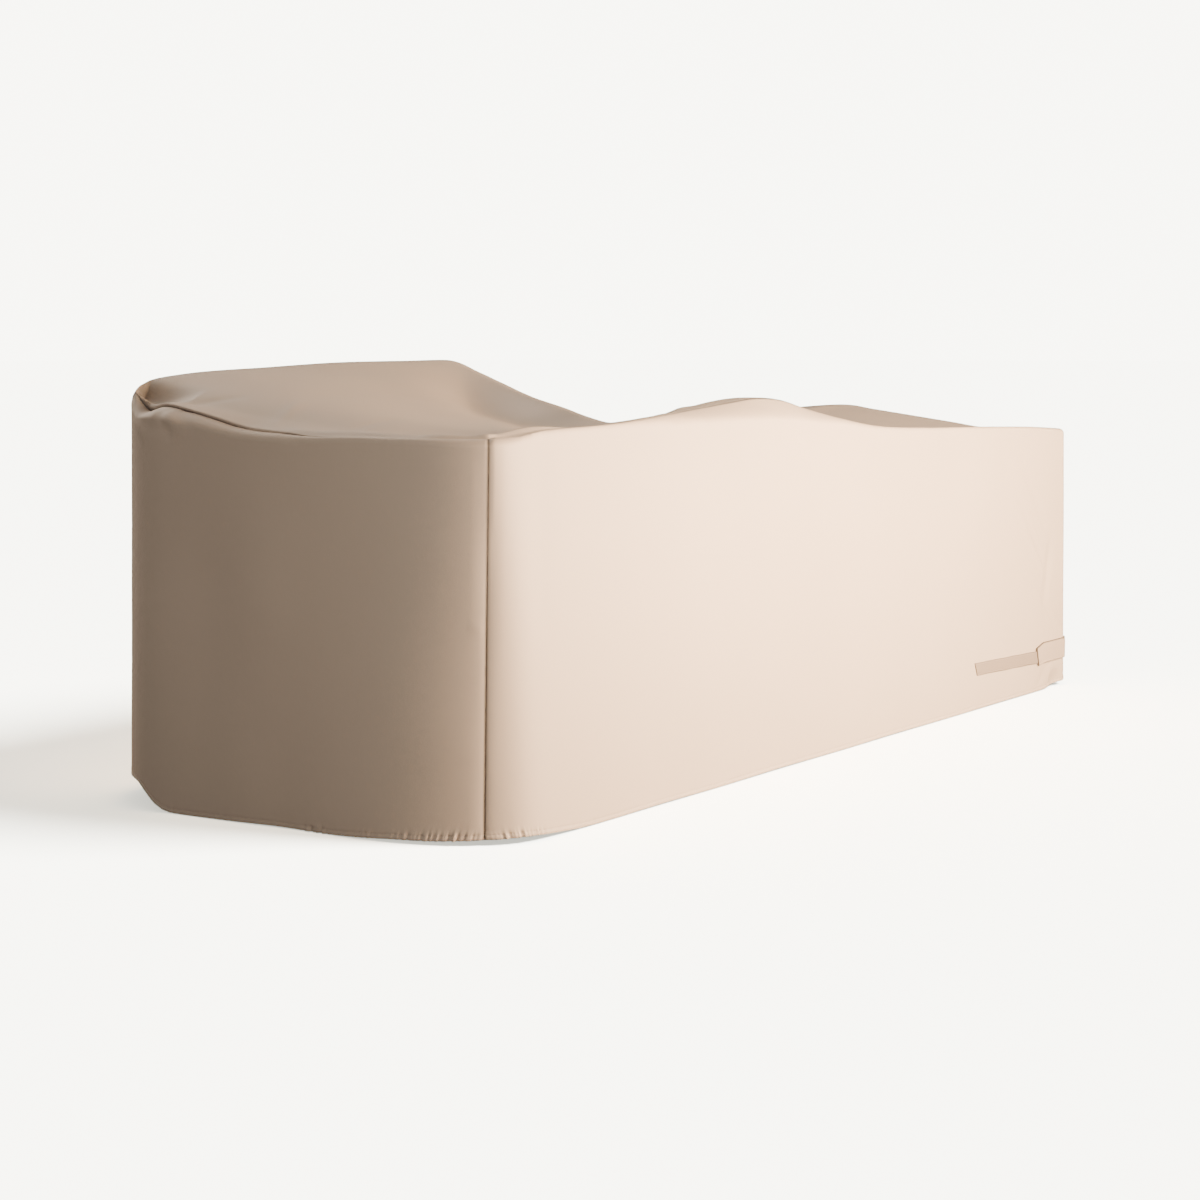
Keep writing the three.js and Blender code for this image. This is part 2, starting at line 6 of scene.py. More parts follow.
import bpy
import numpy as np
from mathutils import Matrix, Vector


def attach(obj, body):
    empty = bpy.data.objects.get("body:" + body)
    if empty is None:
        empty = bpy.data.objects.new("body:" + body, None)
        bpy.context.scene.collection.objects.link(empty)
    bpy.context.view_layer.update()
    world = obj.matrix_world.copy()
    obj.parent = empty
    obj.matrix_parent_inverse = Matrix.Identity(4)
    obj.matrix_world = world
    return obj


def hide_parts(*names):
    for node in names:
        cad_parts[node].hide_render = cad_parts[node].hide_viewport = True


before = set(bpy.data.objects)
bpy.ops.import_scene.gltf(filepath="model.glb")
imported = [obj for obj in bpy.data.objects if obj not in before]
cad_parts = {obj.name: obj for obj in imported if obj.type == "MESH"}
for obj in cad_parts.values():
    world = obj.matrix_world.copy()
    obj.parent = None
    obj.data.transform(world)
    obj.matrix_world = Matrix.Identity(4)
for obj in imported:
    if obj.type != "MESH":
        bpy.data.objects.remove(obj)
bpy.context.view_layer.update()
print("frame loaded, nodes:", len(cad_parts))


# Camera: level, at the height of a seated eye, with the picture cut out below its horizon
camera = {
    "place": (-4.1175, -2.5407, 0.765),
    "turn": -57.23,  # degrees from looking along +Y
    "lens": 76.47,
    "sensor": 36,
    "shift": -0.225,  # the picture's middle lies this share of its width below the horizon
    "farthest": 200,
}


def addObject(name, data):
    # A new object in the scene, at the origin.
    piece = bpy.data.objects.new(name, data)
    bpy.context.scene.collection.objects.link(piece)
    return piece


def placeCamera(values):
    # A level camera, turned about the upright by one angle. Its picture is shifted down, not tilted.
    data = bpy.data.cameras.new("photo_camera")
    data.lens = values["lens"]
    data.sensor_width = values["sensor"]
    data.sensor_fit = "HORIZONTAL"
    data.shift_y = values["shift"]
    data.clip_end = values["farthest"]
    holder = addObject("photo_camera", data)
    holder.location = values["place"]
    holder.rotation_euler = (math.radians(90), 0, math.radians(values["turn"]))
    bpy.context.scene.camera = holder


placeCamera(camera)
print("camera placed")


# Studio: a long low softbox before the near wall and a small one beside the head corner, a light
# behind, a weak one beside the head wall, a dim room, and a pale floor that has its own light
studio = {
    # Softboxes: place, aim, size in metres, power and colour
    "softbox": ((0.13, -1.5, 0.68), (0.13, -0.4, 0.42), (2.34, 0.5), 207, (1.0, 0.79, 0.58)),
    "corner_softbox": ((-1.72, -1.03, 0.7), (-1.05, -0.3, 0.46), (0.5, 0.5), 5.0, (1.0, 0.93, 0.85)),
    # Suns: direction towards the light, strength, degrees across, which soften the shadows, and colour
    "back_light": ((0.32, 0.76, 0.5), 2.9, 45, (1.0, 0.87, 0.74)),
    "head_light": ((-0.93, 0.34, 0.12), 0.82, 70, (1.0, 1.0, 1.0)),
    "floor_light": ((0.36, -0.82, 0.75), 3.0, 26, (1.0, 1.0, 1.0)),
    "roomColour": (1.0, 0.99, 0.98),
    "roomStrength": 0.09,
    "seenColour": (1.0, 0.985, 0.86),
    "seenStrength": 8.3,
    "paperColour": (0.2, 0.19, 0.18),
    "floorShare": 10,  # how much lighter than paper the camera sees the floor
    "floorGlow": 0.9,
    "floorHeight": -0.0008,
    "floorRadius": 60,
    "floorSides": 96,
}


def addLamp(name, kind, towards, **settings):
    # A lamp shines along its own minus Z, so its Z points towards where the light comes from.
    data = bpy.data.lights.new(name, kind)
    for label, value in settings.items():
        setattr(data, label, value)
    lamp = addObject(name, data)
    lamp.rotation_euler = Vector(towards).to_track_quat("Z", "Y").to_euler()
    return lamp


def addSun(name, towards, strength, angle, colour):
    # A far round light, as wide as its angle.
    return addLamp(name, "SUN", towards, energy=strength, angle=math.radians(angle), color=colour)


def addSoftbox(name, place, aim, size, power, colour):
    # A rectangle of light that looks from its place to its aim, and isn't seen itself.
    sizes = {"shape": "RECTANGLE", "size": size[0], "size_y": size[1]}
    lamp = addLamp(name, "AREA", Vector(place) - Vector(aim), energy=power, color=colour, **sizes)
    lamp.location = place
    lamp.visible_camera = False
    return lamp


def lightOnly(lamp, piece, state):
    # The lamp lights only the piece, or everything but the piece.
    group = bpy.data.collections.new(lamp.name + "_reach")
    group.objects.link(piece)
    group.collection_objects[0].light_linking.link_state = state
    lamp.light_linking.receiver_collection = group


def newNode(tree, kind, values=None, **settings):
    # A node with its own settings, then its inputs' values by name.
    node = tree.nodes.new(kind)
    for label, value in settings.items():
        setattr(node, label, value)
    for label, value in (values or {}).items():
        node.inputs[label].default_value = value
    return node


def seenOrLit(tree, seen, lit, outputKind):
    # What the camera sees and what lights the cloth are told apart by the kind of ray.
    path, mix = newNode(tree, "ShaderNodeLightPath"), newNode(tree, "ShaderNodeMixShader")
    out = newNode(tree, outputKind)
    tree.links.new(path.outputs["Is Camera Ray"], mix.inputs[0])
    tree.links.new(lit.outputs[0], mix.inputs[1])
    tree.links.new(seen.outputs[0], mix.inputs[2])
    tree.links.new(mix.outputs[0], out.inputs["Surface"])


def makeRoom(values):
    # What the camera sees of the room is bright, and what lights the cloth is dimmer.
    world = bpy.data.worlds.new("studio_room")
    world.use_nodes = True
    bpy.context.scene.world = world
    tree = world.node_tree
    tree.nodes.clear()
    colour = (*values["seenColour"], 1)
    seen = newNode(tree, "ShaderNodeBackground", {"Color": colour, "Strength": values["seenStrength"]})
    colour = (*values["roomColour"], 1)
    room = newNode(tree, "ShaderNodeBackground", {"Color": colour, "Strength": values["roomStrength"]})
    seenOrLit(tree, seen, room, "ShaderNodeOutputWorld")


def makeFloor(values):
    # A circle of straight sides. The camera sees it as white paper that glows a little, and the cloth
    # is lit by it as by plain paper.
    material = bpy.data.materials.new("studio_floor")
    material.use_nodes = True
    tree = material.node_tree
    tree.nodes.clear()
    paper = newNode(tree, "ShaderNodeBsdfDiffuse", {"Color": (*values["paperColour"], 1)})
    seenPaper = [values["floorShare"] * part for part in values["seenColour"]]
    shade = newNode(tree, "ShaderNodeBsdfDiffuse", {"Color": (*seenPaper, 1)})
    glowing = {"Color": (*values["seenColour"], 1), "Strength": values["floorGlow"]}
    glow = newNode(tree, "ShaderNodeEmission", glowing)
    both = newNode(tree, "ShaderNodeAddShader")
    tree.links.new(shade.outputs[0], both.inputs[0])
    tree.links.new(glow.outputs[0], both.inputs[1])
    seenOrLit(tree, both, paper, "ShaderNodeOutputMaterial")
    turn = np.linspace(0, 2 * math.pi, values["floorSides"], endpoint=False)
    rim = np.stack([np.cos(turn), np.sin(turn), 0 * turn], 1) * values["floorRadius"]
    rim[:, 2] = values["floorHeight"]
    mesh = bpy.data.meshes.new("floor")
    mesh.from_pydata(rim, [], [list(range(len(turn)))])
    mesh.materials.append(material)
    floor = addObject("floor", mesh)
    return floor


makeRoom(studio)
floor = makeFloor(studio)
lamps = [addSoftbox(name, *studio[name]) for name in ("softbox", "corner_softbox")]
lamps += [addSun(name, *studio[name]) for name in ("back_light", "head_light")]
for lamp in lamps:
    lightOnly(lamp, floor, "EXCLUDE")
lightOnly(addSun("floor_light", *studio["floor_light"]), floor, "INCLUDE")
print("studio lit")


# Cutting measures, the same as the cover's solids
cover = {
    "length": 2182,
    "width": 800,
    "foldRise": 2,
    "foldDrop": 9,
    "settle": 0.02,
    "middleHeight": 200,
}
planMiddle = np.array([cover["length"] / 2, cover["width"] / 2, 0])
bodyMiddle = planMiddle + np.array([0, 0, cover["middleHeight"]])

nearSeam = {
    "at": [42, 90, 150, 220, 300, 380, 440, 500, 635, 710]
    + [788, 872, 960, 1050, 1130, 1271, 1487, 1721, 2000, 2163],
    "height": [604, 607, 613, 615, 616, 618.5, 622, 625, 632, 636.5]
    + [641.5, 646, 641, 622, 605, 585, 575, 569, 560, 551],
    "inset": [30, 12, 8, 8, 8, 9, 12, 16, 35, 41]
    + [45, 48, 46, 38, 22, 11, 9, 9, 10, 16],
    "fold": [599, 603, 611, 613.5, 614.5, 616.5, 618, 618, 618, 618]
    + [618, 616, 612, 604, 599, 583, 573, 567, 558, 548],
}
headSeam = {
    "at": [30, 120, 200, 266, 337, 387, 459, 490, 545, 600, 659, 697, 722, 745],
    "height": [604, 603, 603, 603, 602, 605, 608, 612, 624, 635, 642, 634, 647, 665],
    "inset": [42, 11, 7, 6, 9, 14, 18, 20, 24, 28, 37, 45, 50, 57],
    "fold": [599, 602, 602, 602, 600, 600, 602, 605, 615, 624, 631, 631, 639, 650],
}
farSeam = {
    "at": [57, 85, 120, 240, 477, 798, 960, 1125, 1373, 1510, 1700, 1950, 2150],
    "height": [665, 675, 680, 686, 695, 699, 694, 650, 584, 560, 556, 566, 574],
    "inset": [55, 42, 30, 17, 14, 14, 14, 14, 13, 13, 13, 14, 34],
    "fold": [650, 660, 665, 674, 684, 688, 684, 643, 579, 555, 551, 560, 566],
}
footSeam = {
    "at": [16, 90, 188, 272, 370, 469, 520, 622, 710, 766],
    "height": [551, 551, 549, 560, 573, 586, 593, 586, 580, 574],
    "inset": [19, 15, 13, 14, 15, 16, 16, 15, 16, 32],
    "fold": [548, 547, 545, 553, 564, 575, 581, 576, 571, 566],
}
farCrest = {
    "at": [60, 100, 166, 240, 396, 604, 798, 973, 1400],
    "height": [666, 680, 690, 697, 702, 709, 710, 711, 706],
}
hems = {
    "near": {
        "at": [42, 80, 112, 165, 235, 330, 480, 640, 860, 1080, 1300, 1560, 1840, 2030, 2095, 2163],
        "height": [7.7, 8.9, 8.4, 5, 1.1, 0.2, 1.3, 0.2, 1.2, 0.3, 1.2, 0.2, 1, 0.8, 5, 9],
    },
    "far": {"at": [57, 160, 300, 420, 900, 1300, 1700, 2150], "height": [45, 39, 26, 20, 20, 10, 0, 0]},
    "head": {
        "at": [30, 60, 105, 165, 225, 290, 400, 510, 590, 620, 645, 670, 695, 745],
        "height": [7.7, 6.4, 4.8, 4, 1.5, 0.2, 1.1, 0.3, 0.2, 2.4, 12, 28, 41, 45],
    },
    "foot": {"at": [16, 60, 110, 170, 766], "height": [9, 7.6, 3.2, 0, 0]},
}

# Corner seams: distance along and across from the square corner, the reach of turning along and
# across, and the power with which the turning grows towards the seam
corners = {
    "height": 600,
    "ease": 1.1,
    "nearHead": {"top": (28, 20, 100, 200), "hem": (60, 50, 180, 320), "power": 3.2},
    "farHead": {"top": (52, 52, 180, 172), "hem": (52, 52, 180, 172), "power": 2.4},
    "nearFoot": {"top": (11, 11, 44, 44), "hem": (11, 11, 44, 44), "power": 2.4},
    "farFoot": {"top": (24, 24, 80, 80), "hem": (34, 34, 120, 120), "power": 2.4},
}

# Soft folds: push outwards, middle, lean with height, half width, and the heights where they start,
# are full from and to, and end
folds = {
    "near": [
        (5, 640, 0, 330, (0, 290, 310, 600)),
        (-2.4, 136, 0, 26, (260, 420, 590, 700)),
        (-7, 2105, 0, 34, (-20, -10, 8, 46)),
        (-3.5, 2009, 0.22, 16, (120, 235, 245, 360)),
    ],
    "head": [
        (-5, 545, 0, 60, (-90, 290, 310, 560)),
        (3, 430, 0, 55, (80, 400, 410, 560)),
        (-5, 385, 0, 70, (-170, 30, 50, 250)),
    ],
    "far": [
        (4, 700, 0, 300, (0, 320, 340, 640)),
        (-5, 1300, 0, 120, (-60, 290, 310, 540)),
    ],
    "foot": [(4, 520, 0, 120, (0, 290, 310, 520))],
}

top = {
    "nearEdge": 20,
    "farEdge": 765,
    "crestFar": (973, 765, 707),
    "crestNear": (415, 46, 617),
    "crestSag": 11,
    "crestFall": 0.4,
    "crestRound": 9,
    "trough": (26, -86, 76),  # depth, middle from the crest, half width
    "troughCourse": (0.95, 0.35),  # shares of the crest's length between which it fades in
    "valleyStart": (50, 30),
    "valleyDepth": 21,
    "valleyHead": 230,
    "valleyFoot": 105,
    "valleyPower": 1.4,
    "basin": 553,
    "basinRound": 16,
    "belowSeam": 4,
    "levelFrom": 380,
    "footRise": (1250, 2120, 5),
    "shoulder": (760, 260, 30),
    "headPull": (62, 1.6),
    "footPull": (50, 1.6),
    "farPull": (28, 1.8),
    "nearPull": (42, 88, 1.8),
}

# Each side: its seam, its first and second corner, and its length
sides = {
    "near": (nearSeam, "nearHead", "nearFoot", cover["length"]),
    "far": (farSeam, "farHead", "farFoot", cover["length"]),
    "head": (headSeam, "nearHead", "farHead", cover["width"]),
    "foot": (footSeam, "nearFoot", "farFoot", cover["width"]),
}


def lerp(a, b, t):
    # The share t of the way from a to b.
    return a + (b - a) * t


def smoothStep(start, end, x):
    # Rises from nought to one between the two values, as 3t squared less 2t cubed.
    t = np.clip((x - start) / (end - start), 0, 1)
    return t * t * (3 - 2 * t)


def hill(x, middle, halfWidth):
    # The bell curve e to the minus square of the distance in half widths.
    return np.exp(-(((x - middle) / halfWidth) ** 2))


def fade(distance, reach, power):
    # Falls from one to nothing, as e to the minus power of the distance in reaches.
    return np.exp(-((np.maximum(0, distance) / reach) ** power))


def readTable(table, x, column="height"):
    # A cubic between neighbouring rows, with the slope of the chord across each row.
    at = np.asarray(table["at"], float)
    value = np.asarray(table[column], float)
    count = np.arange(len(at))
    before, after = np.maximum(count - 1, 0), np.minimum(count + 1, len(at) - 1)
    slope = (value[after] - value[before]) / (at[after] - at[before])
    i = np.clip(np.searchsorted(at, x) - 1, 0, len(at) - 2)
    span = at[i + 1] - at[i]
    t = np.clip((x - at[i]) / span, 0, 1)
    rise, settle = 3 * t**2 - 2 * t**3, t**3 - t**2
    start = (t**3 - 2 * t**2 + t) * span * slope[i]
    return (1 - rise) * value[i] + rise * value[i + 1] + start + settle * span * slope[i + 1]


def roundedMin(a, b, radius):
    # The smaller of two heights, with a parabola over the corner between them.
    h = np.clip(0.5 + 0.5 * (b - a) / radius, 0, 1)
    return lerp(b, a, h) - radius * h * (1 - h)


def lineDistance(start, end, along, across):
    # Distance from a line in plan, by the cross product with its direction, positive to the foot.
    dx, dy = end[0] - start[0], end[1] - start[1]
    return ((along - start[0]) * dy - (across - start[1]) * dx) / math.hypot(dx, dy)


def softNoise(u, v, size, seed):
    # Seeded heights on a square lattice joined by smooth steps: humps about one size across.
    count = 128
    lattice = np.random.default_rng(seed).uniform(-1, 1, (count, count))
    x, y = u / size, v / size
    i, j = np.floor(x).astype(int), np.floor(y).astype(int)
    fx, fy = smoothStep(0, 1, x - i), smoothStep(0, 1, y - j)
    i0, i1, j0, j1 = i % count, (i + 1) % count, j % count, (j + 1) % count
    low = lerp(lattice[i0, j0], lattice[i1, j0], fx)
    high = lerp(lattice[i0, j1], lattice[i1, j1], fx)
    return lerp(low, high, fy)


def ripple(s, length, seed):
    # Five sines of neighbouring lengths with seeded starts, so the ripples swell and die away.
    shares = (0.71, 0.86, 1.0, 1.23, 1.62)
    starts = np.random.default_rng(seed).uniform(0, 2 * math.pi, len(shares))
    return sum(np.sin(2 * math.pi * s / (length * k) + p) for k, p in zip(shares, starts)) / 3


def creaseField(rows, u, v):
    # Each crease is a bell curve about a line between two points, and dies out at its ends.
    total = np.zeros(np.broadcast(u, v).shape)
    for (u0, v0), (u1, v1), width, push in rows:
        du, dv = u1 - u0, v1 - v0
        size = math.hypot(du, dv)
        place = ((u - u0) * du + (v - v0) * dv) / size**2
        away = ((u - u0) * dv - (v - v0) * du) / size
        taper = np.sin(math.pi * np.clip(place, 0, 1)) ** 0.7
        total += push * taper * np.exp(-((away / width) ** 2))
    return total


def gradedShares(length, cell, edgeCell, growth):
    # Cells grow from the edge cell with distance from the nearer end, up to the plain cell.
    d = np.linspace(0, length, 6001)
    size = np.minimum(cell, edgeCell + growth * np.minimum(d, length - d))
    count = np.concatenate([[0], np.cumsum(np.diff(d) * 0.5 * (1 / size[1:] + 1 / size[:-1]))])
    return np.interp(np.linspace(0, count[-1], int(count[-1]) + 1), count, d) / length


def foldPush(name, at, z):
    # Sum of the soft folds: push times the bell curve along the wall times its course in height.
    total = 0
    for push, middle, lean, halfWidth, (start, fullFrom, fullTo, end) in folds[name]:
        strength = smoothStep(start, fullFrom, z) * smoothStep(end, fullTo, z)
        total = total + push * strength * hill(at, middle + lean * z, halfWidth)
    return total


def cornerAt(corner, side, z):
    # Where a side ends at a corner, its depth there, its reach of turning and its power, at a height:
    # the measures go from the hem's to the fold's.
    values = corners[corner]
    t = np.clip(z / corners["height"], 0, 1) ** corners["ease"]
    along, across, reachAlong, reachAcross = (lerp(*ends, t) for ends in zip(values["hem"], values["top"]))
    if side in ("near", "far"):
        return along, across, reachAlong, values["power"]
    return across, along, reachAcross, values["power"]


def onSide(name, at, depth, z):
    # A point of a side at its distance along it, its depth behind it in plan, and its height.
    plan = {
        "near": (at, depth),
        "far": (at, cover["width"] - depth),
        "head": (depth, at),
        "foot": (cover["length"] - depth, at),
    }[name]
    return np.stack(np.broadcast_arrays(*plan, z), -1).astype(float)


def wallPoint(name, share, z):
    # Place of a wall at a share of its length and a height. Towards each corner it turns in by the
    # corner's depth times the remaining share of its reach to the wall's power.
    _, first, second, length = sides[name]
    a, b = cornerAt(first, name, z), cornerAt(second, name, z)
    at = lerp(a[0], length - b[0], share)
    turned = 0
    for distance, (start, depth, reach, power) in ((at, a), (length - at, b)):
        turned = turned + depth * (1 - np.clip((distance - start) / (reach - start), 0, 1)) ** power
    settle = smoothStep(0, cover["settle"], share) * smoothStep(1, 1 - cover["settle"], share)
    return onSide(name, at, turned - foldPush(name, at, z) * settle, z), at


def seamPoint(name, share):
    # Place of a top seam at a share of its length.
    seam, _, _, length = sides[name]
    at = lerp(seam["at"][0], seam["at"][-1], share)
    inset = readTable(seam, at, "inset")
    return onSide(name, at, inset, readTable(seam, at))


def bodyOfTop(along, across):
    # A plane from the near seam to the far crest, less the valley and the trough, cut by the slope
    # behind the taut crest, and held up by the low middle.
    nearLine = readTable(nearSeam, np.minimum(along, top["levelFrom"])) - top["belowSeam"]
    rise = (across - top["nearEdge"]) / (top["farEdge"] - top["nearEdge"])
    head = lerp(nearLine, readTable(farCrest, along), rise)
    start, crestNear, crestFar = top["valleyStart"], top["crestNear"], top["crestFar"]
    fromValley = lineDistance(start, crestFar, along, across)
    reach = np.where(fromValley < 0, top["valleyHead"], top["valleyFoot"])
    place = np.clip((across - start[1]) / (crestFar[1] - start[1]), 0, 1)
    beside = fade(np.abs(fromValley), reach, top["valleyPower"])
    valley = top["valleyDepth"] * np.sin(math.pi * place) * beside
    fromCrest = lineDistance(crestNear, crestFar, along, across)
    crestPlace = (across - crestNear[1]) / (crestFar[1] - crestNear[1])
    sag = top["crestSag"] * np.sin(math.pi * np.clip(crestPlace, 0, 1))
    slope = lerp(crestNear[2], crestFar[2], crestPlace) - sag - top["crestFall"] * fromCrest
    depth, middle, halfWidth = top["trough"]
    trough = depth * hill(fromCrest, middle, halfWidth) * smoothStep(*top["troughCourse"], crestPlace)
    headSide = roundedMin(head - valley - trough, slope, top["crestRound"])
    footStart, footEnd, above = top["footRise"]
    foot = readTable(footSeam, across) + above
    low = lerp(top["basin"], foot, smoothStep(footStart, footEnd, along))
    return -roundedMin(-headSide, -low, top["basinRound"])


def drawnToEnds(along, across):
    # The body, drawn to the heights of the head seam and the foot seam beside them.
    body = bodyOfTop(along, across)
    toHead = fade(along, *top["headPull"]) * (readTable(headSeam, across) - body)
    toFoot = fade(cover["length"] - along, *top["footPull"]) * (readTable(footSeam, across) - body)
    return body + toHead + toFoot


def topHeight(along, across):
    # The body, drawn to each seam's height within a short reach of it.
    middle, halfLength, width = top["shoulder"]
    hump = hill(along, middle, halfLength)
    flat = readTable(nearSeam, along, "inset") + width * hump
    plainReach, shoulderReach, power = top["nearPull"]
    nearPull = fade(across - flat, lerp(plainReach, shoulderReach, hump), power)
    farEdge = cover["width"] - readTable(farSeam, along, "inset")
    toFar = readTable(farSeam, along) - drawnToEnds(along, farEdge)
    farPull = fade(cover["width"] - across, *top["farPull"])
    return lerp(drawnToEnds(along, across) + farPull * toFar, readTable(nearSeam, along), nearPull)


def gridNormals(points):
    # Cross product of the steps down and along the grid, turned to face out of the cover.
    down = np.gradient(points, axis=0)
    side = np.gradient(points, axis=1)
    normal = np.cross(down, side)
    normal /= np.linalg.norm(normal, axis=-1, keepdims=True) + 1e-12
    outwards = np.sign(np.sum(normal * (points - bodyMiddle)))
    return normal * outwards


def runningLength(points, axis):
    # Sum of the steps between neighbouring points along one direction of the grid.
    step = np.linalg.norm(np.diff(points, axis=axis), axis=-1)
    zero = np.zeros_like(np.take(step, [0], axis=axis))
    return np.concatenate([zero, np.cumsum(step, axis=axis)], axis=axis)


def makeMesh(name, points, faces, uv):
    # A smooth mesh of points in millimetres. Its map is the cloth's own, in metres.
    mesh = bpy.data.meshes.new(name)
    mesh.from_pydata((points - planMiddle) / 1000, [], faces)
    corner = np.zeros(len(mesh.loops), int)
    mesh.loops.foreach_get("vertex_index", corner)
    layer = mesh.uv_layers.new(name="cut")
    layer.data.foreach_set("uv", (uv[corner] / 1000).astype(np.float32).ravel())
    mesh.shade_smooth()
    return addObject(name, mesh)


def meshFromGrid(name, points, uv, edge):
    # Quads between neighbouring grid points, facing out. The edge attribute is painted shade: how much
    # darker the cloth is painted beside its seams and edges, and in the top's shaded spots.
    index = np.arange(edge.size).reshape(edge.shape)
    quads = np.stack([index[:-1, :-1], index[1:, :-1], index[1:, 1:], index[:-1, 1:]], -1).reshape(-1, 4)
    flat = points.reshape(-1, 3)
    a, b, c = flat[quads[:, 0]], flat[quads[:, 1]], flat[quads[:, 2]]
    if np.sum(np.cross(b - a, c - a) * (a - bodyMiddle)) < 0:
        quads = quads[:, ::-1]
    piece = makeMesh(name, flat, quads, uv.reshape(-1, 2))
    attribute = piece.data.attributes.new("painted_shade", "FLOAT", "POINT")
    attribute.data.foreach_set("value", edge.reshape(-1).astype(np.float32))
    return piece


def thicken(piece, thickness):
    # Gives the cloth its thickness on the inside, and closes its edges.
    solidify = piece.modifiers.new("cloth_thickness", "SOLIDIFY")
    solidify.thickness = thickness / 1000
    solidify.offset = -1
    solidify.use_even_offset = False


# Sewing: how the cloth puffs up, dips and gathers beside its seams, how the hem is turned, and how much
# painted shade darkens the seams and the hem groove. A swell has the gathers' mean and swing, its length
# along the seam, and their most.
sewing = {
    "puff": 0.9,
    "puffStart": 4,
    "puffReach": 34,
    "dipReach": 9,  # the cloth is drawn in beside a corner seam over this distance
    "gather": 0.5,
    "gatherLength": 17,
    "gatherStart": 2.5,
    "gatherReach": 13,
    "swell": (0.35, 0.75, 230, 1.4),
    "hemDepth": 7.5,
    "hemPuff": 0.45,
    "hemPuffStart": 2.5,
    "hemPuffEnd": 3,
    "hemGroove": 0.22,
    "hemGrooveWidth": 1.5,
    "hemGather": 1.7,
    "hemGatherLength": 12,
    "hemGatherReach": 3.2,
    "hemLean": 0.25,
    "hemFine": (0.6, 6.5),  # share and length of the finer gathers
    "hemSwell": (0.55, 0.9, 130, 1.5),
    # The next three set the painted shade in the seams and in the hem groove.
    "darkReach": (0.8, 2.3, 1.2),  # half widths at a top seam, a corner seam and a hem
    "darkEase": 14,  # the length over which a dark stretch comes and goes
    "hemPaintedShade": 0.12,
    "dipFade": (0.8, 340, 540),  # share of the dip that goes, and between which heights
}

# The distance from a seam over which each kind of relief grows to its full height
clear = {
    "puff": 6,
    "topPuff": 3,
    "hem": 4,
    "crease": 10,
    "topCrease": 12,
    "dip": 25,
    "hangSeam": 60,
    "hangSide": 25,
    "hangTop": 70,
}

# How the walls and the top are divided: the cell beside a seam, the top's growth of cells, the
# power by which rows crowd at the top seam, and heights of rows above the hem
grading = {
    "wallFirst": 0.9,
    "topFirst": 1.0,
    "topGrowth": 0.16,
    "rollPower": 1.15,
    "hemStart": 29,
    "hemRows": [26, 23, 20.5, 18, 16, 14.4, 13, 11.8, 10.8, 9.8, 8.8, 7.6, 6.2, 4.6, 3, 1.6, 0.6, 0],
}


def swelling(along, swell, seed):
    # A long ripple about the mean, kept between nothing and the most, so that gathers come and go.
    mean, swing, length, most = swell
    return np.clip(mean + swing * ripple(along, length, seed), 0, most)


def riseAndFall(distance, start, reach):
    # One less e to the minus distance over the start, times e to the minus distance over the reach.
    return (1 - np.exp(-distance / start)) * np.exp(-distance / reach)


def seamRelief(distance, along, seed):
    # A low swelling a little way off the seam, and gathers across it that die away with distance.
    puff = sewing["puff"] * riseAndFall(distance, sewing["puffStart"], sewing["puffReach"])
    gathers = swelling(along, sewing["swell"], seed + 7) * ripple(along, sewing["gatherLength"], seed)
    grow = riseAndFall(distance, sewing["gatherStart"], sewing["gatherReach"])
    return puff + sewing["gather"] * gathers * grow


def hemRelief(height, along, seed, strength):
    # Two layers below the stitches stand out, the stitches pull a groove, and gathers rise above it.
    depth = sewing["hemDepth"]
    below = smoothStep(0, sewing["hemPuffStart"], height)
    below = below * smoothStep(depth, depth - sewing["hemPuffEnd"], height)
    groove = hill(height, depth, sewing["hemGrooveWidth"])
    lean = along + sewing["hemLean"] * height
    fineShare, fineLength = sewing["hemFine"]
    ripples = ripple(lean, sewing["hemGatherLength"], seed)
    ripples = ripples + fineShare * ripple(lean, fineLength, seed + 1)
    gathers = swelling(along, sewing["hemSwell"], seed + 5) * ripples
    above = np.exp(-np.maximum(0, height - depth) / sewing["hemGatherReach"])
    layers = sewing["hemPuff"] * below - sewing["hemGroove"] * groove
    return layers + strength * sewing["hemGather"] * gathers * above


def paintedSeamShade(at, rows, plain):
    # How much painted shade a seam gets along its length: the plain share, and more between each row's
    # ends.
    total = plain + 0 * at
    ease = sewing["darkEase"]
    for start, end, share in rows:
        course = smoothStep(start, start + ease, at) * smoothStep(end, end - ease, at)
        total = np.maximum(total, share * course)
    return total
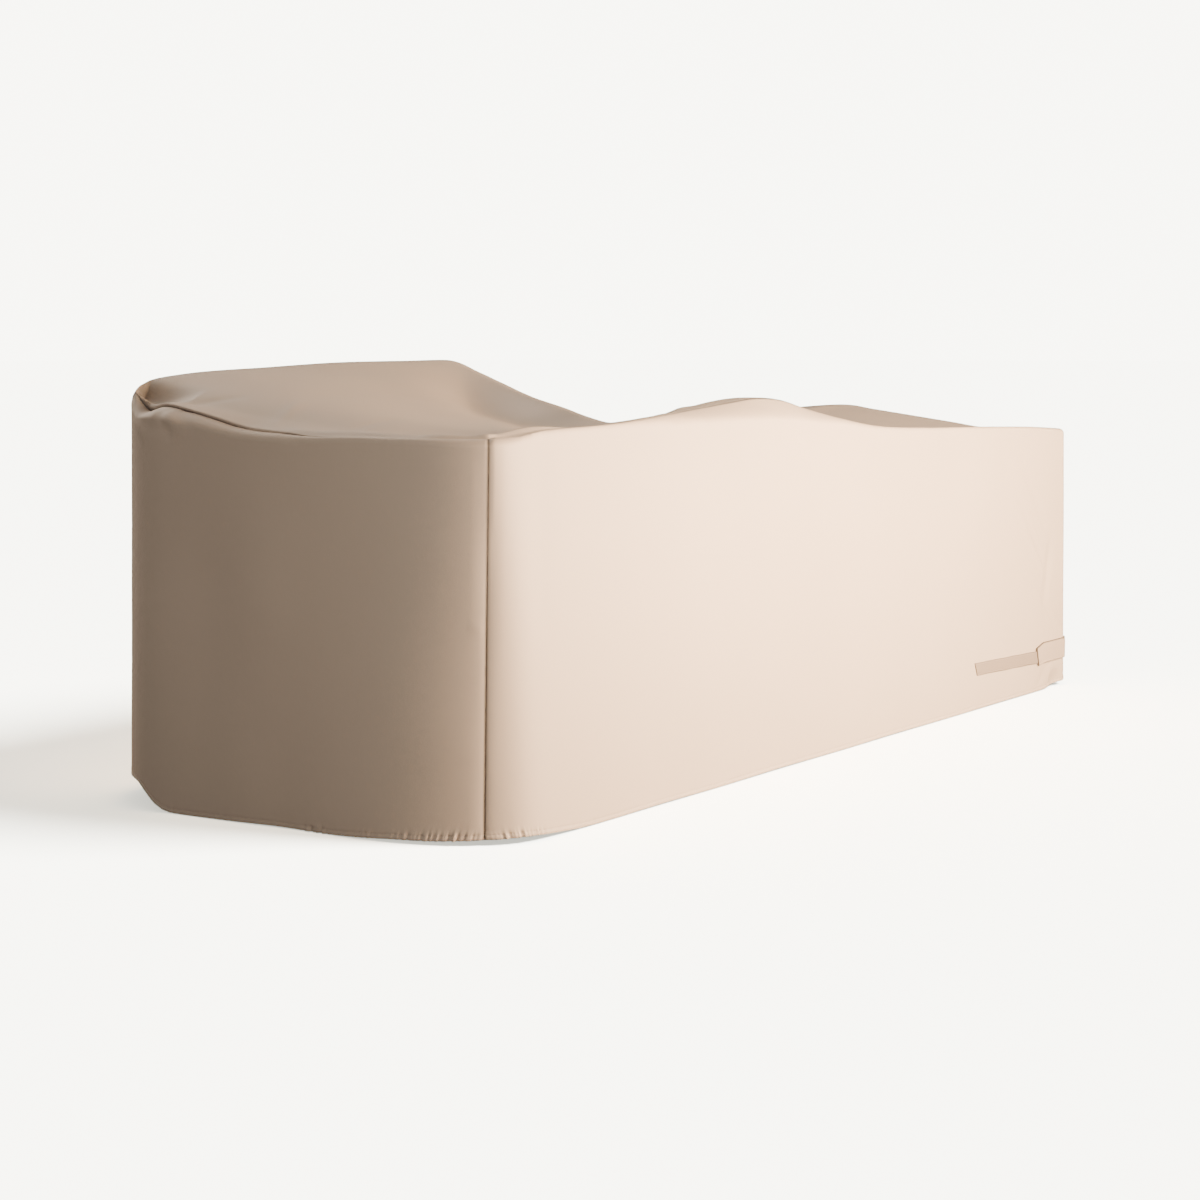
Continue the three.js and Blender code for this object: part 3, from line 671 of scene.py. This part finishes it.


# Walls: how far the cloth dips beside its two corner seams; how much painted shade darkens its top seam in
# stretches and elsewhere, and each corner seam; cell size and growth, and rows over the roll and down the
# drop; the hem gathers' most and least, the place of the most, and its reach. A crease has its two ends,
# half width and push outwards. Unevenness has sizes and depths.
walls = {
    "near": {
        "dip": (3.4, 0.8),
        "dark": ([(30, 75, 0.75), (90, 190, 0.5), (505, 780, 0.35)], 0.15, 1.0, 0.35), "cell": 6.8,
        "growth": 0.02, "roll": 12, "drop": 74, "seed": 11, "hemStrength": (1.0, 0.16, 40, 190),
        "creases": [
            ((30, 650), (32, 455), 30, 1.8), ((2066, 330), (1900, 520), 16, -2.2),
            ((2062, 250), (1905, 420), 11, -2.4), ((2085, 205), (1960, 330), 9, 1.6),
            ((2110, 130), (1985, 250), 10, -2.2), ((2150, 112), (2040, 190), 9, -1.8),
            ((1722, 545), (1716, 505), 7, 1.3), ((1742, 543), (1738, 498), 6, -1.2),
            ((1868, 540), (1858, 488), 7, 1.2), ((1885, 538), (1879, 500), 5, -1.0),
            ((905, 600), (990, 560), 9, -1.5), ((960, 606), (1075, 572), 8, 1.3),
            ((1040, 598), (1150, 566), 8, -1.0), ((548, 618), (566, 590), 9, -1.6),
            ((612, 622), (640, 596), 8, -1.2), ((505, 618), (640, 606), 6, -1.2),
            ((640, 612), (800, 604), 7, -1.0), ((800, 628), (900, 606), 8, 1.0),
            ((1500, 560), (1497, 528), 8, 0.8), ((2075, 60), (2010, 12), 10, -1.5),
            ((2090, 48), (2060, 4), 8, 1.2),
        ],
        "unevenness": ((260, 1.6), (90, 0.35)),
    },
    "head": {
        "dip": (3.4, 1.2),
        "dark": ([(466, 760, 0.95), (346, 400, 0.8), (224, 290, 0.5), (96, 150, 0.4)], 0.12, 1.0, 0.4),
        "cell": 4.8, "growth": 0.012, "roll": 14, "drop": 78, "seed": 23,
        "hemStrength": (1.5, 0.25, 190, 240),
        "creases": [
            ((660, 622), (612, 596), 8, -2.2), ((640, 634), (585, 604), 6, 1.8),
            ((622, 640), (560, 606), 7, -1.6), ((720, 628), (676, 590), 9, 1.8),
            ((735, 640), (640, 600), 7, -1.6), ((500, 618), (440, 596), 8, 1.0),
            ((400, 604), (338, 590), 7, -1.2), ((60, 330), (24, 318), 7, 1.0),
            ((668, 636), (640, 612), 4, 1.1), ((654, 634), (618, 606), 4, -1.0),
            ((640, 630), (596, 602), 5, 0.9),
        ],
        "unevenness": ((210, 2.0), (80, 0.4)),
    },
    "far": {
        "dip": (1.2, 0.8), "dark": ([], 0.3, 0.4, 0.4), "cell": 9.5, "growth": 0.16, "roll": 10,
        "drop": 50, "seed": 37, "hemStrength": (0.5, 0.5, 0, 100),
        "creases": [((1240, 560), (1330, 420), 14, -2.0), ((1010, 640), (1120, 560), 12, 1.6)],
        "unevenness": ((300, 2.6), (110, 0.6)),
    },
    "foot": {
        "dip": (0.8, 0.8), "dark": ([], 0.3, 0.35, 0.4), "cell": 7.5, "growth": 0.16, "roll": 10,
        "drop": 60, "seed": 51, "hemStrength": (0.5, 0.5, 0, 100),
        "creases": [((240, 540), (330, 430), 12, -1.6), ((560, 560), (640, 470), 12, 1.4)],
        "unevenness": ((240, 2.2), (90, 0.5)),
    },
}


def fromEdges(points):
    # Running lengths over the surface from a grid's first and last row, and first and last column.
    fromLow, fromHigh = runningLength(points, 0), runningLength(points[::-1], 0)[::-1]
    fromLeft, fromRight = runningLength(points, 1), runningLength(points[:, ::-1], 1)[:, ::-1]
    return fromLow, fromHigh, fromLeft, fromRight


def unevenness(layers, a, b, shift, seed):
    # The sum of soft noises of several sizes, each times its depth.
    total = 0
    for k, (size, depth) in enumerate(layers):
        total = total + depth * softNoise(a + shift, b + shift, size, seed + k)
    return total


def wallSurface(name):
    # Columns run from the top seam over a parabola of three points to the wall, then down it to the
    # hem. The places along the wall and the heights above the hem come with it.
    values = walls[name]
    seam, _, _, length = sides[name]
    share = gradedShares(length, values["cell"], grading["wallFirst"], values["growth"])[None, :]
    seamAt = lerp(seam["at"][0], seam["at"][-1], share)
    fold = readTable(seam, seamAt, "fold")
    bottom = np.maximum(0, readTable(hems[name], seamAt))
    t = np.linspace(0, 1, values["roll"])[:, None, None] ** grading["rollPower"]
    knee, _ = wallPoint(name, share, fold + cover["foldRise"])
    below, _ = wallPoint(name, share, fold - cover["foldDrop"])
    roll = (1 - t) ** 2 * seamPoint(name, share) + 2 * t * (1 - t) * knee + t**2 * below
    down = np.linspace(0, 1, values["drop"])[1:, None]
    hang = lerp(fold - cover["foldDrop"], bottom + grading["hemStart"], down)
    hemRows = bottom + np.array(grading["hemRows"])[:, None]
    drop, _ = wallPoint(name, share, np.concatenate([hang, hemRows]))
    points = np.concatenate([roll, drop])
    _, at = wallPoint(name, share, points[:, :, 2])
    return points, at, points[:, :, 2] - bottom


def wallGrid(name):
    # The wall's surface, with the relief of its seams, hem, creases and unevenness added along its
    # normals, and the painted shade beside its seams and in its hem groove.
    values = walls[name]
    seed = values["seed"]
    points, at, fromHem = wallSurface(name)
    z = points[:, :, 2]
    fromSeam, _, fromFirst, fromSecond = fromEdges(points)
    fromSide = np.minimum(fromFirst, fromSecond)
    relief = seamRelief(fromSeam, at, seed) * smoothStep(0, clear["puff"], fromSide)
    relief += seamRelief(fromSide, z, seed + 100) * smoothStep(0, clear["puff"], fromSeam)
    gone, lowEnd, highEnd = sewing["dipFade"]
    course = (1 - gone * smoothStep(lowEnd, highEnd, z)) * smoothStep(0, clear["dip"], fromSeam)
    for dip, distance in zip(values["dip"], (fromFirst, fromSecond)):
        relief -= dip * course * np.exp(-distance / sewing["dipReach"])
    most, least, middle, reach = values["hemStrength"]
    hemStrength = lerp(least, most, hill(at, middle, reach))
    relief += hemRelief(fromHem, at, seed + 200, hemStrength) * smoothStep(0, clear["hem"], fromSide)
    relief += creaseField(values["creases"], at, z) * smoothStep(0, clear["crease"], fromSide)
    hang = smoothStep(0, clear["hangSeam"], fromSeam) * smoothStep(0, clear["hangSide"], fromSide)
    relief += hang * unevenness(values["unevenness"], at, z, 400, seed + 300)
    points = points + gridNormals(points) * relief[:, :, None]
    # Painted shade: darker along the top seam, the corner seams and the hem groove, where shade falls in
    # the seams.
    rows, plain, first, second = values["dark"]
    topReach, sideReach, hemReach = sewing["darkReach"]
    lines = [
        paintedSeamShade(at, rows, plain) * hill(fromSeam, 0, topReach),
        first * hill(fromFirst, 0, sideReach),
        second * hill(fromSecond, 0, sideReach),
        sewing["hemPaintedShade"] * hill(fromHem, sewing["hemDepth"], hemReach),
    ]
    return points, np.stack([at, points[:, :, 2]], -1), np.maximum.reduce(lines), fromHem


# Top panel: cell size, the painted shade at its seams, the painted shade spots in the far head corner's
# hollow and at the foot of the crest, creases in plan, and unevenness
topCloth = {
    "cell": 7.2,
    "seed": 71,
    # Painted shade at the seams, and painted shade spots where the hollow and the crest's foot lie in
    # shade.
    "dark": (0.15, 0.7),  # at every seam, and the share of the head wall's dark line
    "paintedShades": [(0.7, 86, 762, 44), (0.28, 505, 200, 85)],  # share, middle in plan, half width
    "creases": [
        ((425, 52), (545, 66), 20, 2.5), ((230, 22), (30, 42), 13, 7.5), ((24, 400), (27, 60), 13, 5.5),
        ((26, 140), (52, 20), 13, 4.5), ((545, 44), (640, 66), 9, -1.5), ((580, 50), (700, 76), 7, 2.2),
        ((470, 36), (560, 52), 8, -2.0), ((84, 640), (70, 850), 24, -17.0),
        ((40, 640), (120, 560), 12, -2.0), ((30, 430), (150, 470), 12, 1.4),
        ((30, 300), (160, 280), 14, -1.0), ((640, 58), (860, 84), 9, 1.2),
        ((600, 90), (800, 130), 16, -1.5), ((930, 80), (1120, 46), 12, 1.4),
        ((1380, 420), (2100, 520), 16, 1.4), ((1420, 300), (2080, 250), 20, -1.2),
    ],
    "unevenness": ((190, 1.8), (70, 0.45)),
}


def topGrid():
    # Plan places blend between opposite seams, less the blend of the corners, and the height
    # follows the top. Relief is added along the normals, and dies out at the seams.
    values = topCloth
    seed = values["seed"]
    cells = values["cell"], grading["topFirst"], grading["topGrowth"]
    u = gradedShares(cover["length"], *cells)[None, :]
    v = gradedShares(cover["width"], *cells)[:, None]
    low, high = seamPoint("near", u), seamPoint("far", u)
    left, right = seamPoint("head", v), seamPoint("foot", v)
    u3, v3 = u[:, :, None], v[:, :, None]
    cornerBlend = lerp(lerp(low[0, 0], low[0, -1], u3), lerp(high[0, 0], high[0, -1], u3), v3)
    points = lerp(low, high, v3) + lerp(left, right, u3) - cornerBlend
    points[:, :, 2] = topHeight(points[:, :, 0], points[:, :, 1])
    points[0], points[-1] = low[0], high[0]
    points[:, 0], points[:, -1] = left[:, 0], right[:, 0]
    along, across = points[:, :, 0], points[:, :, 1]
    fromNear, fromFar, fromHead, fromFoot = fromEdges(points)
    sideways, lengthways = np.minimum(fromNear, fromFar), np.minimum(fromHead, fromFoot)
    nearest = np.minimum(sideways, lengthways)
    relief = seamRelief(sideways, along, seed) * smoothStep(0, clear["puff"], fromHead)
    relief += seamRelief(lengthways, across, seed + 50) * smoothStep(0, clear["puff"], fromNear)
    relief *= smoothStep(0, clear["topPuff"], nearest)
    relief += creaseField(values["creases"], along, across) * smoothStep(0, clear["topCrease"], nearest)
    hang = smoothStep(0, clear["hangTop"], nearest)
    relief += hang * unevenness(values["unevenness"], along, across, 500, seed + 300)
    points = points + gridNormals(points) * relief[:, :, None]
    # Painted shade: along every seam, along the head seam's dark line, and in the shaded spots.
    rows, plain = walls["head"]["dark"][:2]
    reach = sewing["darkReach"][0]
    everySeam, headShare = values["dark"]
    headLine = headShare * paintedSeamShade(across, rows, plain) * hill(fromHead, 0, reach)
    darker = [everySeam * hill(nearest, 0, reach), headLine]
    for share, middleAlong, middleAcross, halfWidth in values["paintedShades"]:
        fromMiddle = np.hypot(along - middleAlong, across - middleAcross)
        darker.append(share * hill(fromMiddle, 0, halfWidth))
    return points, np.stack([along, across], -1), np.maximum.reduce(darker)


# Shared effects, each a node group that the materials use with their own values
def newGroup(name, inputs, outputs):
    # An empty node group with its named inputs and outputs, each of its kind.
    group = bpy.data.node_groups.new(name, "ShaderNodeTree")
    for way, sockets in (("INPUT", inputs), ("OUTPUT", outputs)):
        for label, kind in sockets.items():
            group.interface.new_socket(label, in_out=way, socket_type="NodeSocket" + kind)
    start, end = newNode(group, "NodeGroupInput"), newNode(group, "NodeGroupOutput")
    return group, start.outputs, end.inputs


def mathNode(group, operation, a, b=None):
    # One step of arithmetic on numbers or on other nodes' outputs.
    node = newNode(group, "ShaderNodeMath", operation=operation)
    for socket, value in zip(node.inputs, (a, b)):
        if value is None:
            continue
        if isinstance(value, (int, float)):
            socket.default_value = value
        else:
            group.links.new(value, socket)
    return node.outputs[0]


def noiseNode(group, vector, values):
    # Layered noise over a vector.
    node = newNode(group, "ShaderNodeTexNoise", values)
    group.links.new(vector, node.inputs["Vector"])
    return node.outputs[0]


def makeWeave():
    # Plain weave: the product of a sine across the warp and one across the weft, and a fine
    # grain of thread on top. Height comes out in metres.
    inputs = {"Vector": "Vector", "Pitch": "Float", "Depth": "Float", "Crinkle": "Float"}
    group, start, end = newGroup("plain_weave", inputs, {"Height": "Float"})
    times = partial(mathNode, group, "MULTIPLY")
    split = newNode(group, "ShaderNodeSeparateXYZ")
    group.links.new(start["Vector"], split.inputs[0])
    turns = mathNode(group, "DIVIDE", math.pi, start["Pitch"])
    warp, weft = (mathNode(group, "SINE", times(split.outputs[k], turns)) for k in (0, 1))
    crinkle = noiseNode(group, start["Vector"], {"Scale": 55, "Detail": 3, "Roughness": 0.45})
    rough = times(crinkle, start["Crinkle"])
    group.links.new(mathNode(group, "ADD", times(times(warp, weft), start["Depth"]), rough), end["Height"])
    return group


def makeTone():
    # Slow drift of the dye and small clouding, as a factor about one, darker by painted shade beside the
    # seams.
    inputs = {"Vector": "Vector", "Colour": "Color", "Drift": "Float"}
    inputs.update({"Seam": "Float", "Seam Shade": "Float", "Roughness": "Float"})
    group, start, end = newGroup("cloth_tone", inputs, {"Colour": "Color", "Roughness": "Float"})
    times = partial(mathNode, group, "MULTIPLY")
    plus = partial(mathNode, group, "ADD")
    less = partial(mathNode, group, "SUBTRACT")
    cloud = noiseNode(group, start["Vector"], {"Scale": 3.2, "Detail": 5, "Roughness": 0.55})
    centred = less(cloud, 0.5)
    drift = plus(1.0, times(centred, start["Drift"]))
    factor = times(drift, less(1.0, times(start["Seam"], start["Seam Shade"])))
    scale = newNode(group, "ShaderNodeVectorMath", operation="SCALE")
    group.links.new(start["Colour"], scale.inputs[0])
    group.links.new(factor, scale.inputs["Scale"])
    group.links.new(scale.outputs[0], end["Colour"])
    rougher = plus(times(centred, 0.12), times(start["Seam"], 0.12))
    group.links.new(plus(start["Roughness"], rougher), end["Roughness"])
    return group


weaveGroup = makeWeave()
toneGroup = makeTone()

# Finishes, by the names of the nodes' inputs. Colour is linear, and pitch, depth and crinkle are
# metres.
# Seam Shade is the strength of the painted shade beside the seams and edges and in the top's shaded spots.
finishes = {
    "coated_cloth": {
        "tone": {"Colour": (0.57, 0.435, 0.325, 1), "Drift": 0.10, "Seam Shade": 0.8, "Roughness": 0.55},
        "weave": {"Pitch": 0.0006, "Depth": 0.000022, "Crinkle": 0.00009},
        "surface": {"Specular IOR Level": 0.25, "Sheen Weight": 0.03, "Sheen Roughness": 0.4},
    },
    "loop_pile": {
        "tone": {"Colour": (0.31, 0.228, 0.165, 1), "Drift": 0.16, "Seam Shade": 0.5, "Roughness": 0.9},
        "weave": {"Pitch": 0.0011, "Depth": 0.00022, "Crinkle": 0.0006},
        "surface": {"Specular IOR Level": 0.2, "Sheen Weight": 0.12, "Sheen Roughness": 0.4},
    },
    "folded_tab": {
        "tone": {"Colour": (0.48, 0.36, 0.265, 1), "Drift": 0.10, "Seam Shade": 0.85, "Roughness": 0.5},
        "weave": {"Pitch": 0.0006, "Depth": 0.000026, "Crinkle": 0.00012},
        "surface": {"Specular IOR Level": 0.3, "Sheen Weight": 0.04, "Sheen Roughness": 0.4},
    },
    "sewing_thread": {
        "tone": {"Colour": (0.55, 0.42, 0.315, 1), "Drift": 0.05, "Seam Shade": 0.0, "Roughness": 0.55},
        "weave": {"Pitch": 0.0004, "Depth": 0.00004, "Crinkle": 0.0001},
        "surface": {"Specular IOR Level": 0.4, "Sheen Weight": 0.1, "Sheen Roughness": 0.4},
    },
}


def makeFinish(name):
    # The tone colours the cloth by its place, and the weave follows the cloth's own map.
    values = finishes[name]
    material = bpy.data.materials.new(name)
    material.use_nodes = True
    tree = material.node_tree
    shader = tree.nodes["Principled BSDF"]
    for label, value in values["surface"].items():
        shader.inputs[label].default_value = value
    cut = newNode(tree, "ShaderNodeUVMap", uv_map="cut")
    place = newNode(tree, "ShaderNodeTexCoord")
    # The painted shade comes from the mesh's attribute.
    seam = newNode(tree, "ShaderNodeAttribute", attribute_name="painted_shade")
    tone = newNode(tree, "ShaderNodeGroup", values["tone"], node_tree=toneGroup)
    weave = newNode(tree, "ShaderNodeGroup", values["weave"], node_tree=weaveGroup)
    bump = newNode(tree, "ShaderNodeBump", {"Strength": 1, "Distance": 1})
    for output, socket in (
        (place.outputs["Object"], tone.inputs["Vector"]),
        (seam.outputs["Fac"], tone.inputs["Seam"]),
        (cut.outputs[0], weave.inputs["Vector"]),
        (weave.outputs["Height"], bump.inputs["Height"]),
        (tone.outputs["Colour"], shader.inputs["Base Color"]),
        (tone.outputs["Roughness"], shader.inputs["Roughness"]),
        (bump.outputs[0], shader.inputs["Normal"]),
    ):
        tree.links.new(output, socket)
    return material


materials = {name: makeFinish(name) for name in finishes}
print("finishes made:", ", ".join(materials))


def finishPiece(piece, finish, slotName, *nodes):
    # Gives a piece its finish, attaches it to the root body, and hides the solids that it stands for.
    # slotName is not used.
    piece.data.materials.append(materials[finish])
    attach(piece, "root")
    if nodes:
        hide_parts(*nodes)


# Stitches: each is a spindle of rings, whose places are shares of half its length
stitch = {
    "pitch": 4.2,
    "length": 3.3,
    "radius": 0.28,
    "sink": 0.1,
    "lift": 0.9,  # share of the radius by which its middle stands out
    "steps": (-1, -0.7, 0, 0.7, 1.0),
    "blunt": 1.02,  # just over one, so that the end rings keep a small radius
    "sides": 5,
}


def unitRows(vectors):
    # Each row over its own length.
    return vectors / np.linalg.norm(vectors, axis=1, keepdims=True)


def alongLine(places, run, values):
    # A line's values read off between its points, at places along its running length.
    return np.stack([np.interp(places, run, column) for column in values.T], -1)


def stitchRow(line, normals):
    # Each stitch is a short spindle: rings round the thread's line, whose radius shrinks with the
    # square root of one less the squared share of its length, lifted in its middle.
    run = runningLength(line, 0)
    centres = np.arange(stitch["pitch"] * 0.5, run[-1] - stitch["pitch"] * 0.5, stitch["pitch"])
    place, outward = alongLine(centres, run, line), alongLine(centres, run, normals)
    along = unitRows(alongLine(centres, run, np.gradient(line, axis=0)))
    outward = unitRows(outward - np.sum(outward * along, 1, keepdims=True) * along)
    sideways = np.cross(along, outward)
    steps = np.array(stitch["steps"])
    radius = stitch["radius"] * np.sqrt(stitch["blunt"] - steps**2)
    lift = stitch["radius"] * stitch["lift"] * (1 - steps**2) - stitch["sink"]
    turn = np.linspace(0, 2 * math.pi, stitch["sides"], endpoint=False)
    rings = (
        place[:, None, None]
        + along[:, None, None] * (steps * stitch["length"] / 2)[None, :, None, None]
        + outward[:, None, None] * (lift[:, None] + radius[:, None] * np.cos(turn))[None, :, :, None]
        + sideways[:, None, None] * (radius[:, None] * np.sin(turn))[None, :, :, None]
    )
    index = np.arange(rings[..., 0].size).reshape(rings.shape[:3])
    after = np.roll(index, -1, axis=2)
    quads = np.stack([index[:, :-1], after[:, :-1], after[:, 1:], index[:, 1:]], -1).reshape(-1, 4)
    caps = np.concatenate([index[:, 0, ::-1], index[:, -1]])
    return rings.reshape(-1, 3), quads.tolist() + caps.tolist()


def stitchPiece(name, line, normals):
    # A row of stitches in one mesh.
    points, faces = stitchRow(line, normals)
    piece = makeMesh(name, points, faces, points[:, [0, 2]])
    finishPiece(piece, "sewing_thread", "cloth")
    return piece


def rowAt(points, fromHem, height):
    # The line on a wall at one height above its hem, column by column, with its normals.
    normals = gridNormals(points)
    order = np.argsort(fromHem, axis=0)
    sortedHeight = np.take_along_axis(fromHem, order, 0)
    above = np.clip((sortedHeight < height).sum(0), 1, len(sortedHeight) - 1)
    columns = np.arange(points.shape[1])
    h0, h1 = sortedHeight[above - 1, columns], sortedHeight[above, columns]
    t = ((height - h0) / (h1 - h0))[:, None]
    low, high = order[above - 1, columns], order[above, columns]
    line = lerp(points[low, columns], points[high, columns], t)
    return line, lerp(normals[low, columns], normals[high, columns], t)


# How far each cloth's second face lies behind its first
clothThickness = {"panel": 0.8, "strip": 0.5, "tab": 1.2}

for side in sides:
    points, uv, edge, fromHem = wallGrid(side)
    piece = meshFromGrid(f"{side}_wall_cloth", points, uv, edge)
    thicken(piece, clothThickness["panel"])
    finishPiece(piece, "coated_cloth", "cloth", f"{side}_panel")
    thread = stitchPiece(f"{side}_hem_stitching", *rowAt(points, fromHem, sewing["hemDepth"]))
    print(side, "wall sewn, cells:", points.shape[0] * points.shape[1])

points, uv, edge = topGrid()
topPiece = meshFromGrid("top_cloth", points, uv, edge)
thicken(topPiece, clothThickness["panel"])
finishPiece(topPiece, "coated_cloth", "cloth", "top_panel")
print("top sewn, cells:", points.shape[0] * points.shape[1])

# Loop strip and corner tab
band = {
    "start": 1690,
    "end": 2078,
    "width": 26,
    "height": 82,
    "fall": 11,
    "slant": 0.45,
    "thickness": 1.1,
    "gap": 0.35,
    "lengthCells": (2.56, 0.25, 0.4),  # plain cell, edge cell, growth
    "widthCells": (1.6, 0.2, 0.5),
    "stitchInset": 2.4,
    "stitchGroove": (0.4, 1.1),  # depth and half width
    "slantReach": 40,
    "waver": (0.35, 90),  # height and length
    "pile": (0.12, 1.9),  # height and size of its lumps
    "pileFrom": (1, 4),
    "edgeRadius": 1.0,
    # Half width of the painted shade along the strip's edges.
    "darkReach": 1.2,
}
tab = {
    "reach": 182,
    "slant": 10,
    "root": 62,
    "front": (54, 94),
    "corner": (58, 102),
    "widening": 40,
    "lift": 2.05,
    "gap": 0.45,
    "closing": 20,
    "thickness": 1.4,
    "level": 82,
    "width": 48,
    "lengthCells": (2.4, 0.25, 0.4),
    "widthCells": (2.0, 0.25, 0.45),
    "samples": (96, 34),  # points of its line on the near wall and on the foot wall
    "pastCorner": 16,
    "pastRoot": 30,  # its root's end isn't rounded over, so it counts as this much longer
    "stitchInset": 4.5,
    "stitchGroove": (0.45, 1.3),
    "slantReach": 40,
    "waves": (0.5, 46, 0.8, 0.4),  # height, length, middle over its width, half width
    "wavesFrom": (2, 8),
    "edgeRadius": 1.1,
    # Painted shadow at the tab's edges: half widths, then its share at every edge.
    "darkReach": (2.6, 2.2, 1.2),  # at the front edge, the upper edge and every edge
    "darkEdge": 0.3,
}


def shareAt(name, distance, z):
    # Share of a wall's length at a distance along it.
    _, first, second, length = sides[name]
    start, end = cornerAt(first, name, z)[0], cornerAt(second, name, z)[0]
    return (distance - start) / (length - end - start)


def edgeRound(distance, radius):
    # Quarter circle from the edge inwards: one less the remaining share of the radius, squared.
    return np.sqrt(np.clip(1 - (1 - np.clip(distance / radius, 0, 1)) ** 2, 0, 1))


def stripGrid():
    # A band on the near wall. Its face stands off the wall by the gap and its thickness, and
    # rounds down to the wall at its edges.
    length, width = band["end"] - band["start"], band["width"]
    t = gradedShares(length, *band["lengthCells"])[None, :]
    w = gradedShares(width, *band["widthCells"])[:, None]
    slant = band["slant"] * width * (1 - w) * np.clip(1 - t * length / band["slantReach"], 0, 1)
    distance = band["start"] + length * t + slant
    waver, waverLength = band["waver"]
    z = band["height"] - band["fall"] * t + width * (w - 0.5) + waver * ripple(distance, waverLength, 5)
    base, _ = wallPoint("near", shareAt("near", distance, z), z)
    fromEdge = np.minimum(np.minimum(w, 1 - w) * width, np.minimum(t, 1 - t) * length)
    grooveDepth, grooveWidth = band["stitchGroove"]
    pileHeight, pileSize = band["pile"]
    pile = pileHeight * softNoise(distance, z, pileSize, 91) * smoothStep(*band["pileFrom"], fromEdge)
    lift = band["gap"] + band["thickness"] * edgeRound(fromEdge, band["edgeRadius"]) + pile
    lift -= grooveDepth * hill(fromEdge, band["stitchInset"], grooveWidth)
    points = base + gridNormals(base) * lift[:, :, None]
    # Painted shade darkens the strip towards its edges, where it meets the wall.
    return points, np.stack([distance, z], -1), np.exp(-fromEdge / band["darkReach"]), (w[:, 0], t[0])


def tabLine():
    # The strap's line along the near wall and round the corner to its root, at one height, in steps
    # that are finer at its ends. It comes with its normals and the steps.
    level, (onNear, onFoot) = tab["level"], tab["samples"]
    nearShare = np.linspace(shareAt("near", cover["length"] - tab["reach"], level), 1, onNear)
    footShare = np.linspace(0, shareAt("foot", tab["root"], level), onFoot)[1:]
    nearLine, _ = wallPoint("near", nearShare, level + 0.0 * nearShare)
    footLine, _ = wallPoint("foot", footShare, level + 0.0 * footShare)
    line = np.concatenate([nearLine, footLine])
    run = runningLength(line, 0)
    steps = gradedShares(run[-1], *tab["lengthCells"]) * run[-1]
    line = alongLine(steps, run, line)
    tangent = np.gradient(line, axis=0)
    normal = unitRows(np.stack([tangent[:, 1], -tangent[:, 0], 0 * tangent[:, 0]], -1))
    normal *= np.sign(np.sum(normal * (line - planMiddle), 1, keepdims=True))
    return line, normal, steps


def tabGrid():
    # A strap that leaves the foot wall, comes round the corner and ends on the strip. It follows
    # the walls' plan at one height, and its edges round over.
    line, normal, steps = tabLine()
    front = cover["length"] - tab["reach"]
    toCorner = smoothStep(front, front + tab["widening"], line[:, 0])
    low = lerp(tab["front"][0], tab["corner"][0], toCorner)
    high = lerp(tab["front"][1], tab["corner"][1], toCorner)
    w = gradedShares(tab["width"], *tab["widthCells"])[:, None]
    z = lerp(low, high, w)
    fromLow, fromHigh = w * (high - low), (1 - w) * (high - low)
    fromEnds = np.minimum(steps, steps[-1] - steps + tab["pastRoot"])
    fromEdge = np.minimum(np.minimum(fromLow, fromHigh), fromEnds)
    onFoot = line[:, 0] > cover["length"] - tab["pastCorner"]
    closing = np.where(onFoot, smoothStep(tab["closing"], tab["root"], line[:, 1]), 0)
    grooveDepth, grooveWidth = tab["stitchGroove"]
    waveHeight, waveLength, waveMiddle, waveWidth = tab["waves"]
    waves = waveHeight * ripple(steps, waveLength, 3)[None, :] * hill(w, waveMiddle, waveWidth)
    lift = lerp(tab["lift"], tab["gap"], closing)
    lift = lift + tab["thickness"] * edgeRound(fromEdge, tab["edgeRadius"])
    lift = lift - grooveDepth * hill(fromEdge, tab["stitchInset"], grooveWidth)
    lift = lift + waves * smoothStep(*tab["wavesFrom"], fromEdge)
    points = line[None] + normal[None] * lift[:, :, None]
    points[:, :, 2] = z
    points[:, :, 0] += tab["slant"] * (1 - w) * np.clip(1 - steps / tab["slantReach"], 0, 1)
    allSteps = np.broadcast_to(steps, z.shape)
    # Painted shadow: the edge over the strip and the upper edge lie in their own shadow, and every edge
    # gets a little painted shade.
    frontReach, upperReach, edgeReach = tab["darkReach"]
    edges = [hill(allSteps, 0, frontReach), hill(fromHigh, 0, upperReach)]
    edges.append(tab["darkEdge"] * hill(fromEdge, 0, edgeReach))
    return points, np.stack([allSteps, z], -1), np.maximum.reduce(edges), w[:, 0]


def insetLoop(points, insetRows, insetColumns):
    # The closed line a few cells in from a grid's edges, and its normals.
    normals = gridNormals(points)
    low, high = insetRows
    left, right = insetColumns
    parts = [
        (low, slice(left, right)),
        (slice(low, high), right),
        (high, slice(right, left, -1)),
        (slice(high, low, -1), left),
    ]
    line = np.concatenate([points[part] for part in parts])
    return line, np.concatenate([normals[part] for part in parts])


def cellAt(shares, distance, total):
    # The grid line that is nearest to a distance from the first edge.
    return int(np.argmin(np.abs(shares * total - distance)))


points, uv, edge, (widthShares, lengthShares) = stripGrid()
strip = meshFromGrid("loop_strip", points, uv, edge)
thicken(strip, clothThickness["strip"])
finishPiece(strip, "loop_pile", "strip", "fastening_strip")
row = cellAt(widthShares, band["stitchInset"], band["width"])
column = cellAt(lengthShares, band["stitchInset"], band["end"] - band["start"])
lastRow, lastColumn = points.shape[0] - 1, points.shape[1] - 1
loop = insetLoop(points, (row, lastRow - row), (column, lastColumn - column))
stripThread = stitchPiece("strip_stitching", *loop)

points, uv, edge, widthShares = tabGrid()
tabPiece = meshFromGrid("corner_tab_cloth", points, uv, edge)
thicken(tabPiece, clothThickness["tab"])
finishPiece(tabPiece, "folded_tab", "tab", "corner_tab")
row = cellAt(widthShares, tab["stitchInset"], tab["width"])
loop = insetLoop(points, (row, points.shape[0] - 1 - row), (row, points.shape[1] - 2))
tabThread = stitchPiece("tab_stitching", *loop)
print("strip and tab sewn")
